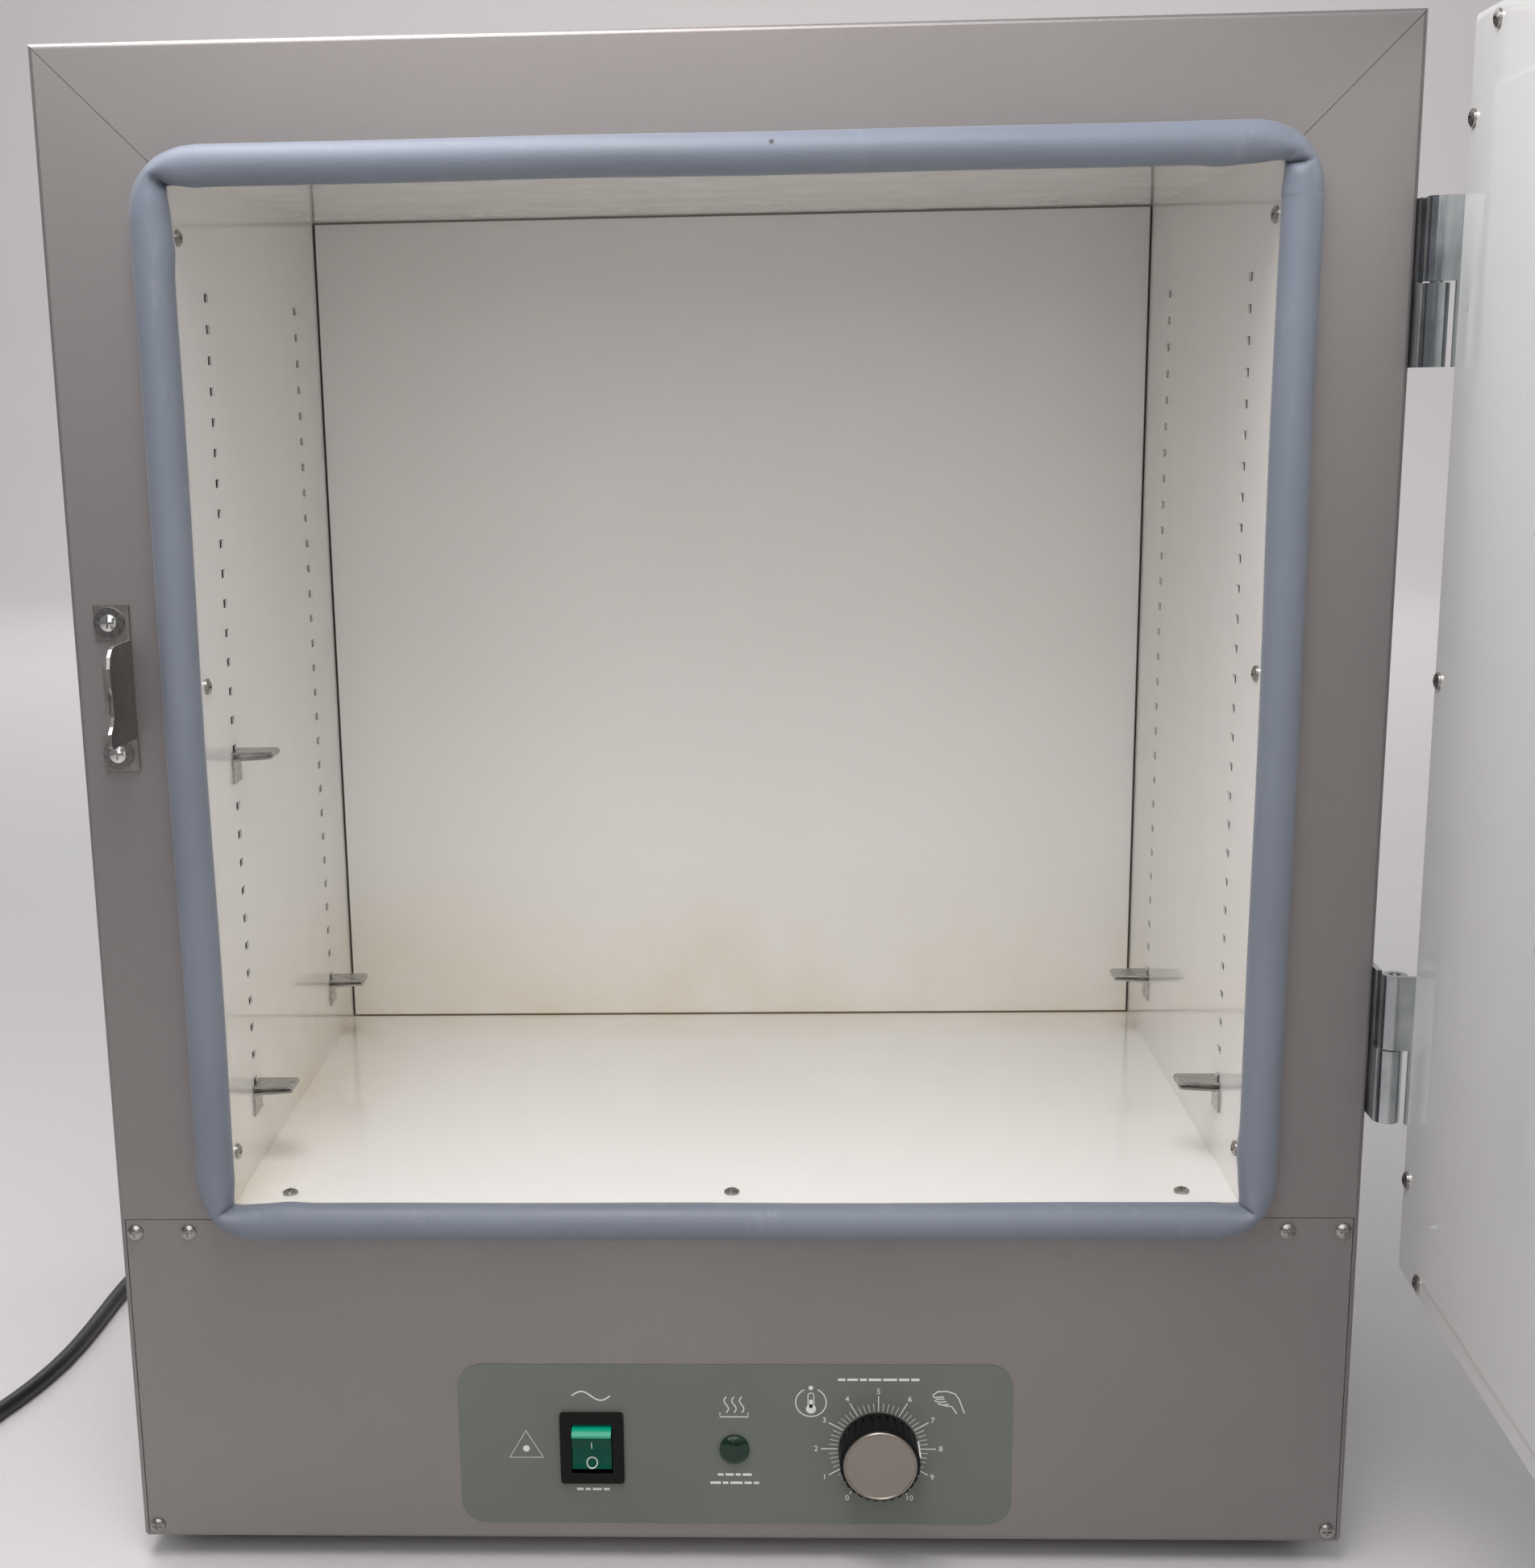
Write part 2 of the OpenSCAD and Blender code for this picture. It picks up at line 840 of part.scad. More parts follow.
module shelf_clips() {
    color(steel)
        at_front()
            for (c = clips_at)
                translate([c[0] * half_c, slot_y[c[1]], slot_top - slot_pitch * c[2]])
                    mirror([c[0] > 0 ? 1 : 0, 0, 0])
                        rotate([90, 0, 0])
                            clip_strip();
}

// The strip is wide inside the chamber, and its hook is narrow enough for the slot
module clip_strip() {
    intersection() {
        translate([0, 0, -clip_w / 2])
            linear_extrude(clip_w)
                clip_2d();
        union() {
            translate([0, -20, -clip_w / 2])
                cube([40, 40, clip_w]);
            translate([-10, -20, -slot_w / 2 + 0.4])
                cube([20, 40, slot_w - 0.8]);
        }
    }
}

// ---------- gasket and insulation ----------

module gasket() {
    r = gasket_bend;
    color(rubber_blue)
        at_front()
            translate([0, -gasket_r, 0]) {
                for (s = [-1, 1])
                    translate([s * gasket_x, 0, gasket_lo + r])
                        cylinder(r = gasket_r, h = gasket_hi - gasket_lo - 2 * r);
                for (z = [gasket_lo, gasket_hi])
                    rod_x(0, z, gasket_r, -gasket_x + r, gasket_x - r);
                gasket_corner(gasket_x - r, gasket_hi - r, 0);
                gasket_corner(-gasket_x + r, gasket_hi - r, 90);
                gasket_corner(-gasket_x + r, gasket_lo + r, 180);
                gasket_corner(gasket_x - r, gasket_lo + r, 270);
            }
}

module gasket_corner(x, z, turn) {
    translate([x, 0, z])
        rotate([90, 0, 0])
            rotate([0, 0, turn])
                rotate_extrude(angle = 90)
                    translate([gasket_bend, 0])
                        circle(gasket_r);
}

// Wool slab between the liner and the casing
module insulation_side() {
    span([-half_w + sheet + 0.5, 8, z_floor - 3], [-half_c - 9, case_d - 6, z_ceiling + 2]);
}

module insulation_left() {
    color(wool)
        at_front()
            insulation_side();
}

module insulation_right() {
    color(wool)
        at_front()
            mirror([1, 0, 0])
                insulation_side();
}

module insulation_top() {
    color(wool)
        at_front()
            span([-half_w + sheet + 0.5, 8, z_ceiling + 9], [half_w - sheet - 0.5, case_d - 6, z_top - 2]);
}

module insulation_rear() {
    color(wool)
        at_front()
            span([-half_c, chamber_d + liner_t, z_floor - 3], [half_c, case_d - 6, z_ceiling]);
}

// ---------- feet ----------

module feet() {
    color(black)
        at_front()
            for (p = feet_at)
                translate([p[0], p[1], 0])
                    difference() {
                        rotate_extrude()
                            polygon([
                                [0, 0], [10, 0], [11, 1], [12.5, foot_h], [0, foot_h]
                            ]);
                        translate([0, 0, -1])
                            cylinder(r = 5, h = 5);
                        translate([0, 0, -1])
                            cylinder(r = hole_r, h = foot_h + 2);
                    }
}

// Screws up through the feet, and the four that hold the pan's front edge
module foot_screws() {
    color(zinc)
        at_front() {
            for (p = feet_at)
                translate([p[0], p[1], 4])
                    rotate([180, 0, 0])
                        pan_screw(length = 12);
            for (x = stud_x)
                translate([x, stud_y, z_base - pan_t])
                    rotate([180, 0, 0])
                        pan_screw(r = 4, length = 3);
        }
}

// ---------- hinges ----------

// Hinge half seen from above: barrel about the origin, leaf along +y on its left side
module hinge_half(low, high, clear_low, clear_high) {
    translate([0, 0, low])
        cylinder(r = barrel_r, h = high - low);
    difference() {
        translate([-leaf_out, 0, 0])
            cube([leaf_t, leaf_w, leaf_h]);
        translate([-7, -1, clear_low])
            cube([5, 1 + barrel_r + 1.2, clear_high - clear_low]);
    }
    translate([-leaf_out, 0, low])
        cube([leaf_t, barrel_r, high - low]);
    translate([-leaf_out, -e, low])
        cube([3, 3, high - low]);
}

module case_hinge_leaves() {
    mid = leaf_h / 2;
    color(zinc)
        at_front()
            for (h = hinges_z)
                translate([axis_x, axis_y, h])
                    difference() {
                        hinge_half(0, mid - knuckle_gap / 2, mid - knuckle_gap / 2, leaf_h + 1);
                        translate([0, 0, 6])
                            cylinder(r = pin_r, h = leaf_h);
                        for (z = leaf_holes_z)
                            rod_x(leaf_hole_y - axis_y, z, hole_r, -9, 0);
                    }
}

module door_hinge_leaves() {
    mid = leaf_h / 2;
    color(zinc)
        at_front()
            door_turn()
                for (h = hinges_z)
                    translate([axis_x, axis_y, h])
                        difference() {
                            mirror([0, 1, 0])
                                hinge_half(mid + knuckle_gap / 2, leaf_h, -1, mid + knuckle_gap / 2);
                            translate([0, 0, -1])
                                cylinder(r = pin_r + pin_gap, h = leaf_h + 2);
                            for (z = leaf_holes_z)
                                rod_x(axis_y - leaf_hole_y, z, hole_r, -9, 0);
                        }
}

// Each pin is pressed into the casing's knuckle and runs in the door's
module hinge_pins() {
    color(steel)
        at_front()
            for (h = hinges_z)
                translate([axis_x, axis_y, h + 6])
                    cylinder(r = pin_r, h = leaf_h - 7);
}

module case_leaf_screws() {
    color(zinc)
        at_front()
            for (h = hinges_z, z = leaf_holes_z)
                screw_in_x(axis_x - leaf_out + leaf_t, leaf_hole_y, h + z, -1, 3.6);
}

module door_leaf_screws() {
    color(zinc)
        at_front()
            door_turn()
                for (h = hinges_z, z = leaf_holes_z)
                    screw_in_x(axis_x - leaf_out + leaf_t, 2 * axis_y - leaf_hole_y, h + z, -1, 6);
}

// ---------- strike ----------

// Strike seen from the side: y grows to the left towards the user, z up
module strike_wall_2d() {
    lo = strike_mid - 20.5;
    hi = strike_mid + 20;
    polygon([
        [0, lo], [36, lo + 1], [37.3, lo + 2.5], [37.3, lo + 7], [34, lo + 9.5], [31.8, lo + 13],
        [31.8, lo + 22], [33, lo + 25], [33, hi - 8], [31.5, hi - 3.5], [28, hi - 0.8], [24, hi],
        [0, hi]
    ]);
}

module strike() {
    wall_t = 1.4;
    color(zinc)
        at_front()
            difference() {
                union() {
                    for (z = strike_z)
                        span([strike_x - 6.3, -1.6, z - 7.2], [strike_wall_x, 0, z + 7.2]);
                    span([strike_wall_x - 7, -1.6, strike_z[0]], [strike_wall_x, 0, strike_z[1]]);
                    translate([strike_wall_x - wall_t, 0, 0])
                        rotate([90, 0, 90])
                            linear_extrude(wall_t)
                                mirror([1, 0])
                                    strike_wall_2d();
                    span([strike_wall_x - 3, -33, strike_mid - 6],
                         [strike_wall_x - wall_t + e, -31.2, strike_mid + 14]);
                }
                for (z = strike_z) {
                    rod_y(strike_x, z - 2, hole_r + 0.2, -5, 1);
                    rod_y(strike_x, z + 2, hole_r + 0.2, -5, 1);
                    span([strike_x - hole_r - 0.2, -5, z - 2], [strike_x + hole_r + 0.2, 1, z + 2]);
                }
            }
}

module strike_washers() {
    color(steel)
        at_front()
            for (z = strike_z)
                difference() {
                    rod_y(strike_x, z, 6.3, -2.7, -1.6);
                    rod_y(strike_x, z, hole_r, -5, 1);
                }
}

module strike_screws() {
    color(zinc)
        at_front()
            for (z = strike_z)
                screw_in_y(strike_x, -2.7, z, 8);
}

// ---------- door ----------

// Painted outer pan of the door, open towards the chamber
module door_shell() {
    w = door_x1 - door_x0;
    h = door_z1 - door_z0;
    color(grey_paint)
        at_front()
            door_turn()
                difference() {
                    translate([door_mid_x, -door_back - 1, door_z0])
                        rotate([90, 0, 0])
                            linear_extrude(door_t - 1)
                                round_rect_2d(w, h, 3);
                    translate([door_mid_x, 0, door_z0 + sheet])
                        rotate([90, 0, 0])
                            linear_extrude(door_front - sheet)
                                round_rect_2d(w - 2 * sheet, h - 2 * sheet, 1.8);
                    for (h = hinges_z, z = leaf_holes_z)
                        rod_x(2 * axis_y - leaf_hole_y, h + z, hole_r, half_w - 4, half_w + 1);
                    for (z = latch_screws_z)
                        rod_y(latch_screw_x, z, hole_r, -door_front - 1, -door_front + 3);
                }
}

// Glossy inner panel: flat rim, and a field that stands out towards the gasket
module door_inner_panel() {
    w = door_x1 - door_x0;
    h = door_z1 - door_z0;
    color(door_white)
        at_front()
            door_turn()
                difference() {
                    union() {
                        translate([door_mid_x, -door_back, door_z0])
                            rotate([90, 0, 0])
                                linear_extrude(1)
                                    round_rect_2d(w, h, 3);
                        span([door_x0 + plateau_in[0], -door_back - 1, door_z0 + plateau_in[0]],
                             [door_x1 - plateau_in[1], -door_in, door_z1 - plateau_in[1]]);
                    }
                    for (p = door_screws_at)
                        rod_y(p[0], p[1], hole_r, -door_back - 3, 1);
                }
}

module door_screws() {
    color(dark_steel)
        at_front()
            door_turn()
                for (p = door_screws_at)
                    translate([p[0], -door_back, p[1]])
                        rotate([-90, 0, 0])
                            pan_screw(length = 7);
}

module door_insulation() {
    color(wool)
        at_front()
            door_turn()
                span([door_x0 + 12, -door_front + 8, door_z0 + 12],
                     [door_x1 - 12, -door_back - 2, door_z1 - 12]);
}

// ---------- latch ----------

// Bracket on the door's face: plate and two ears that carry the lever's pin
module latch_bracket() {
    color(zinc)
        at_front()
            door_turn()
                difference() {
                    union() {
                        span([latch_x + 7, -door_front - 3, latch_lo], [latch_x + 46, -door_front, latch_hi]);
                        for (z = [latch_lo, latch_hi - 4])
                            latch_ear(z);
                    }
                    translate([latch_x, latch_y, latch_lo - 1])
                        cylinder(r = latch_pin_r, h = latch_hi - latch_lo + 2);
                    for (z = latch_screws_z)
                        rod_y(latch_screw_x, z, hole_r, -door_front - 5, -door_front + 1);
                }
}

// One ear, with its web back to the plate
module latch_ear(z) {
    translate([latch_x, latch_y, z])
        cylinder(r = latch_hub_r, h = 4);
    span([latch_x, latch_y - latch_hub_r, z], [latch_x + 26, -door_front - 3 + e, z + 4]);
    span([latch_x + 3.6, latch_y, z], [latch_x + 26, -door_front, z + 4]);
}

module latch_pin() {
    color(steel)
        at_front()
            door_turn() {
                translate([latch_x, latch_y, latch_lo - 1])
                    cylinder(r = latch_pin_r, h = latch_hi - latch_lo + 2);
                translate([latch_x, latch_y, latch_hi])
                    cylinder(r = latch_pin_r + 1.2, h = 1.6);
            }
}

module latch_screws() {
    color(zinc)
        at_front()
            door_turn()
                for (z = latch_screws_z)
                    screw_in_y(latch_screw_x, -door_front - 3, z, 7);
}

// Lever seen from above, latched, its hub at the origin: finger plate and claw
module lever_2d() {
    nose_r = 31.4;
    difference() {
        circle(latch_hub_r);
        circle(latch_pin_r + 0.05);
    }
    translate([-finger_l, -finger_t])
        square([finger_l - 4, finger_t]);
    translate([-finger_l, -finger_t / 2])
        circle(finger_t / 2);
    claw_2d(nose_r);
}

// Claw: an arm beside the strike's wall, and a nose behind its lip
module claw_2d(nose_r) {
    polygon([
        [-5.2, -1.5], [-4.2, 4], [-4.4, 20], [-4.4, 34.6], [-9, 33], [-9.6, 20], [-8.4, 4], [-7.5, -3]
    ]);
    intersection() {
        difference() {
            circle(nose_r + 4.2);
            circle(nose_r);
        }
        polygon([[-1.8, 28], [-1.8, 40], [-7, 40], [-6, 28]]);
    }
}

module latch_lever() {
    lo = latch_lo + 4.3;
    hi = latch_hi - 4.3;
    color(zinc)
        at_front()
            door_turn()
                translate([latch_x, latch_y, 0])
                    rotate([0, 0, -latched_turn]) {
                        translate([0, 0, strike_mid - 4])
                            linear_extrude(14)
                                lever_2d();
                        translate([0, 0, lo])
                            linear_extrude(hi - lo)
                                difference() {
                                    circle(latch_hub_r);
                                    circle(latch_pin_r + 0.05);
                                }
                        translate([-finger_l, -finger_t, lo + 2])
                            cube([finger_l - 10, finger_t, hi - lo - 4]);
                    }
}

// ---------- mains cord ----------

// Gland in the back panel: flange, body in the hole and a ribbed taper around the cord
module cord_gland() {
    color(black)
        at_front()
            translate([gland_x, 0, gland_z])
                rotate([-90, 0, 0])
                    difference() {
                        union() {
                            translate([0, 0, case_d - 8])
                                cylinder(r = 7, h = 8 + e);
                            translate([0, 0, case_d])
                                cylinder(r = 10, h = 3);
                            translate([0, 0, case_d + 3 - e])
                                cylinder(r1 = 8, r2 = 5.4, h = gland_l);
                        }
                        for (i = [0:5])
                            translate([0, 0, case_d + 7 + 4.4 * i])
                                rotate_extrude()
                                    translate([7.4 - 0.36 * i, 0])
                                        square([4, 1.6]);
                    }
}

function tangent(p, i) =
    let (a = p[max(i - 1, 0)], b = p[min(i + 1, len(p) - 1)])
    (b - a) / norm(b - a);
function side_of(t) =
    let (s = cross(t, [0, 0, 1]))
    s / norm(s);

// Rings of points around each point of the route, joined into one closed tube
module mains_cord() {
    p = [for (q = cord_route) [q[0], q[1] - case_d / 2, q[2]]];
    n = cord_sides;
    rings = [
        for (i = [0 : len(p) - 1])
            let (t = tangent(p, i), u = side_of(t), v = cross(t, u))
            for (k = [0 : n - 1])
                p[i] + cord_r * (cos(360 * k / n) * u + sin(360 * k / n) * v)
    ];
    walls = [
        for (i = [0 : len(p) - 2], k = [0 : n - 1])
            [i * n + k, i * n + (k + 1) % n, (i + 1) * n + (k + 1) % n, (i + 1) * n + k]
    ];
    ends = [
        [for (k = [n - 1 : -1 : 0]) k],
        [for (k = [0 : n - 1]) (len(p) - 1) * n + k]
    ];
    color(black)
        polyhedron(points = rings, faces = concat(walls, ends), convexity = 6);
}

// The rest of the cord, gathered in a coil on the floor
module cord_coil() {
    color(black)
        at_front()
            translate([coil_x, coil_y, 0])
                rotate_extrude()
                    translate([coil_r, 0.1])
                        round_rect_2d(2 * cord_d, 2 * cord_d, cord_r);
}

// Moulded plug with two flat blades and a round earth pin; its lead is where the last turn ends
module plug() {
    lead = 31;
    neck = 30;
    body = 32;
    body_r = 12.6;
    body_y = lead + neck;
    pins_y = body_y + body;
    lead_z = 1.5 * cord_d + 0.1;
    color(black)
        at_front()
            translate([coil_x - coil_r - cord_r, coil_y, lead_z]) {
                rod_y(0, 0, cord_r - 0.3, 0, lead + e);
                translate([0, lead, 0])
                    rotate([-90, 0, 0])
                        cylinder(r1 = cord_r + 0.8, r2 = 7, h = neck);
                difference() {
                    rod_y(0, 0, body_r, body_y - e, pins_y);
                    span([-body_r, body_y - 1, body_r - 3.4], [body_r, pins_y + 1, 2 * body_r]);
                }
                for (x = [-6.3, 6.3])
                    span([x - 0.8, pins_y - e, -1.2], [x + 0.8, pins_y + 16, 5.2]);
                rod_y(0, -7, 2.4, pins_y - e, pins_y + 19);
            }
}

// ---------- all the nodes ----------

case_left_side();
case_right_side();
case_top();
bottom_pan();
rear_panel();
control_panel();
panel_screws();
control_overlay();
switch_body();
rocker();
lamp_body();
lamp_lens();
thermostat();
thermostat_shaft();
capillary();
knob_skirt();
knob_cap();
knob_pointer();
heating_element();
heater_brackets();
terminal_block();
liner_left();
liner_right();
liner_top();
liner_floor();
liner_rear();
liner_screws();
shelf_clips();
gasket();
insulation_left();
insulation_right();
insulation_top();
insulation_rear();
feet();
foot_screws();
rear_screws();
case_hinge_leaves();
hinge_pins();
case_leaf_screws();
strike();
strike_washers();
strike_screws();
door_shell();
door_inner_panel();
door_insulation();
door_screws();
door_hinge_leaves();
door_leaf_screws();
latch_bracket();
latch_screws();
latch_pin();
latch_lever();
cord_gland();
mains_cord();
cord_coil();
plug();
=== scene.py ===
import json
import math

import bmesh
import bpy
from mathutils import Matrix, Vector


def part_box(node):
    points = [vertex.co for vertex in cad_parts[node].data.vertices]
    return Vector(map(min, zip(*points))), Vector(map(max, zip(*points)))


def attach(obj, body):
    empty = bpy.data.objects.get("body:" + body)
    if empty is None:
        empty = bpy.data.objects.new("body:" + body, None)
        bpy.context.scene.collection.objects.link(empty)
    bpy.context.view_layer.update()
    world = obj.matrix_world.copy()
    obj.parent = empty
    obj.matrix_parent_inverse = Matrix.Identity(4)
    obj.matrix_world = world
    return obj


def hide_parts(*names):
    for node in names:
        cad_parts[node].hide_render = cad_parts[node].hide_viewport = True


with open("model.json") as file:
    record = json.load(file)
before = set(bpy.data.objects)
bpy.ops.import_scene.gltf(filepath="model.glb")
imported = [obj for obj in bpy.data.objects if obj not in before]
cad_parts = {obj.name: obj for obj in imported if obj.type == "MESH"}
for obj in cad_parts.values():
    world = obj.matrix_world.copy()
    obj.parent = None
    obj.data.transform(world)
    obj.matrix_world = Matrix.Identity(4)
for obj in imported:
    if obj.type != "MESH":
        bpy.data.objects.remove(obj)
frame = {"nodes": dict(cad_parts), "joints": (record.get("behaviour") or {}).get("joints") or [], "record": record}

MM = 0.001
NODES = frame["nodes"]
JOINTS = {joint["name"]: joint for joint in frame["joints"]}
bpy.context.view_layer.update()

# Front coordinates: millimetres, with y = 0 on the casing's front and the user at -y
FRONT_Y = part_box("case_left_side")[0].y


def at(x, y, z):
    """The row-frame point, in metres, for a point in front coordinates."""
    return Vector((x * MM, FRONT_Y + y * MM, z * MM))


def middle(node):
    """The centre of a CAD node's box in front coordinates."""
    low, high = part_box(node)
    centre = (low + high) / 2
    return Vector((centre.x / MM, (centre.y - FRONT_Y) / MM, centre.z / MM))


# ---------- camera ----------

# Solved from the shelf slots and the corners of the chamber and of the casing
SENSOR = 36.0
LENS = 51.19
SHIFT_X, SHIFT_Y = 0.0681, 0.0717
YAW, PITCH, ROLL = 0.04635, -0.22960, 0.01870
CAMERA_PLACE = (13.96, -884.17, 513.68)


def make_camera():
    camera = bpy.data.objects.new("camera", bpy.data.cameras.new("camera"))
    bpy.context.scene.collection.objects.link(camera)
    camera.data.sensor_fit = "HORIZONTAL"
    camera.data.sensor_width = SENSOR
    camera.data.lens = LENS
    camera.data.shift_x = SHIFT_X
    camera.data.shift_y = SHIFT_Y
    turn = (Matrix.Rotation(YAW, 4, "Z") @ Matrix.Rotation(PITCH, 4, "X")
            @ Matrix.Rotation(ROLL, 4, "Y") @ Matrix.Rotation(math.pi / 2, 4, "X"))
    camera.matrix_world = Matrix.Translation(at(*CAMERA_PLACE)) @ turn
    bpy.context.scene.camera = camera


# ---------- mains cord ----------

CORD_D = 8.4
LIE = 4.3  # height of its centre line where it lies on the floor

# Centre line in mm, from the gland on the rear panel to where the coil starts
CORD_ROUTE = [
    (-60, 385, 50), (-60.5, 396, 49.5), (-63, 409, 46.5), (-68, 421, 40), (-77, 431, 31),
    (-89, 438.5, 21.5), (-104, 443.5, 13.5), (-122, 446, 7.5), (-142, 447, 4.8), (-164, 447, LIE),
    (-188, 446.5, LIE), (-212, 445, LIE), (-236, 441.5, LIE), (-260, 435, LIE), (-283, 425, LIE),
    (-303, 412, LIE), (-321, 395, LIE), (-336, 376, LIE), (-347, 355, LIE), (-355, 332, LIE),
    (-359, 308, LIE), (-361, 282, LIE), (-362, 256, LIE), (-363, 230, LIE), (-365, 204, LIE),
    (-369, 178, LIE), (-375, 153, LIE), (-383, 128, LIE), (-390, 104, LIE), (-394.5, 84, LIE),
]
COIL_X, COIL_Y, COIL_R = -450, 70, 50
COIL_TURNS = 3.5
COIL_STEP = 15
PLUG_LEAD = 31

# Degrees of turn at which the coil moves inward, up and outward again, and how long each move takes
COIL_IN, COIL_UP, COIL_OUT = 270, 585, 900
COIL_MOVE = 90


def ease(value):
    """0 below 0, 1 above 1 and a smooth step between."""
    t = min(max(value, 0.0), 1.0)
    return 0.5 - 0.5 * math.cos(math.pi * t)


def coil_points():
    """Turns laid two wide and two high: outside, inside, up, and outside again over the first."""
    points = []
    outer, inner = COIL_R + CORD_D / 2, COIL_R - CORD_D / 2
    low, high = LIE, LIE + CORD_D
    for i in range(int(COIL_TURNS * 360 / COIL_STEP) + 1):
        gone = i * COIL_STEP
        moved_in, moved_up, moved_out = (
            ease((gone - begin) / COIL_MOVE) for begin in (COIL_IN, COIL_UP, COIL_OUT))
        r = outer + (inner - outer) * moved_in + (outer - inner) * moved_out
        z = low + (high - low) * moved_up
        a = math.radians(-gone)
        points.append((COIL_X + r * math.cos(a), COIL_Y + r * math.sin(a), z))
    return points


def make_cord():
    """The whole lead as one round tube: along its route, round the coil and into the plug."""
    coil = coil_points()
    x, y, z = coil[-1]
    points = CORD_ROUTE + coil
    points += [(x, y + PLUG_LEAD * t, z) for t in (0.35, 0.7, 1.0)]
    data = bpy.data.curves.new("mains_lead", "CURVE")
    data.dimensions = "3D"
    data.bevel_depth = 1.0  # each point's own radius sets the thickness
    data.bevel_resolution = 5
    data.resolution_u = 5
    spline = data.splines.new("BEZIER")
    spline.bezier_points.add(len(points) - 1)
    for place, p in zip(spline.bezier_points, points):
        place.co = at(*p)
        place.radius = CORD_D / 2 * MM
        place.handle_left_type = place.handle_right_type = "AUTO"
    cord = bpy.data.objects.new("mains_lead", data)
    bpy.context.scene.collection.objects.link(cord)
    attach(cord, "cabinet")
    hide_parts("mains_cord", "cord_coil")
    return cord


# ---------- materials ----------

# The sockets of a Mix node that mixes colours
MIX_A, MIX_B, MIX_RESULT = 6, 7, 2


class Look:
    """A procedural material. Patterns are measured in metres in the piece's own coordinates."""

    def __init__(self, name, rough=0.5, metal=0.0, **sockets):
        self.name = name
        self.material = bpy.data.materials.new(name)
        self.material.use_nodes = True
        self.tree = self.material.node_tree
        self.shader = self.tree.nodes["Principled BSDF"]
        self.shader.inputs["Roughness"].default_value = rough
        self.shader.inputs["Metallic"].default_value = metal
        for key, value in sockets.items():
            self.shader.inputs[key.replace("_", " ")].default_value = value
        self.place = self.add("ShaderNodeTexCoord").outputs["Object"]

    def add(self, kind, settings=None, **inputs):
        """A node of a kind. An input goes by its socket's name, or as i0, i1 and so on."""
        node = self.tree.nodes.new(kind)
        for key, value in (settings or {}).items():
            setattr(node, key, value)
        for key, value in inputs.items():
            numbered = key[0] == "i" and key[1:].isdigit()
            self.feed(node.inputs[int(key[1:]) if numbered else key], value)
        return node

    def feed(self, socket, value):
        if isinstance(value, bpy.types.NodeSocket):
            self.tree.links.new(value, socket)
        else:
            socket.default_value = value

    def stretched(self, stretch):
        return self.add("ShaderNodeMapping", Vector=self.place, Scale=stretch).outputs[0]

    def noise(self, scale, detail=2.0, stretch=None, rough=0.5):
        place = self.stretched(stretch) if stretch else self.place
        node = self.add("ShaderNodeTexNoise", Vector=place, Scale=scale, Detail=detail,
                        Roughness=rough)
        return node.outputs["Fac"]

    def between(self, value, low, high, out_low=0.0, out_high=1.0):
        """The value's place from low to high, held inside them, as out_low to out_high."""
        node = self.add("ShaderNodeMapRange", i0=value, i1=low, i2=high, i3=out_low, i4=out_high)
        return node.outputs[0]

    def maths(self, operation, a, b=0.0):
        return self.add("ShaderNodeMath", {"operation": operation}, i0=a, i1=b).outputs[0]

    def mix(self, share, a, b):
        node = self.add("ShaderNodeMix", {"data_type": "RGBA"}, i0=share)
        self.feed(node.inputs[MIX_A], a)
        self.feed(node.inputs[MIX_B], b)
        return node.outputs[MIX_RESULT]

    def product(self, a, b):
        return self.maths("MULTIPLY", a, b)

    def blend(self, a, b, share):
        """Two patterns added together, each with its share."""
        return self.maths("ADD", self.product(a, share[0]), self.product(b, share[1]))

    def axis(self, name):
        return self.add("ShaderNodeSeparateXYZ", Vector=self.place).outputs[name]

    def colour(self, value):
        self.feed(self.shader.inputs["Base Color"], value)

    def rough(self, value):
        self.feed(self.shader.inputs["Roughness"], value)

    def bump(self, height, distance, strength=1.0, after=None):
        node = self.add("ShaderNodeBump", Height=height, Distance=distance, Strength=strength)
        if after is not None:
            self.feed(node.inputs["Normal"], after)
        self.feed(self.shader.inputs["Normal"], node.outputs[0])
        return node.outputs[0]


def rgb(red, green, blue):
    """Linear colour, as a shader wants it, from the usual sRGB values of 0 to 255."""
    return tuple(((c / 255 + 0.055) / 1.055) ** 2.4 if c > 10 else c / 255 / 12.92
                 for c in (red, green, blue)) + (1.0,)


def speckled(name, dark, light, rough, grain, depth, cloud=5.0, metal=0.0, spread=0.12, **sockets):
    """A painted or moulded surface: fine grain, slow changes of tone and of gloss."""
    look = Look(name, rough, metal, **sockets)
    fine = look.noise(grain, 3.0)
    slow = look.noise(cloud, 3.0)
    share = look.blend(fine, slow, (0.55, 0.45))
    look.colour(look.mix(look.between(share, 0.3, 0.7), dark, light))
    look.rough(look.between(slow, 0.3, 0.7, rough - spread / 2, rough + spread / 2))
    look.bump(fine, depth)
    return look


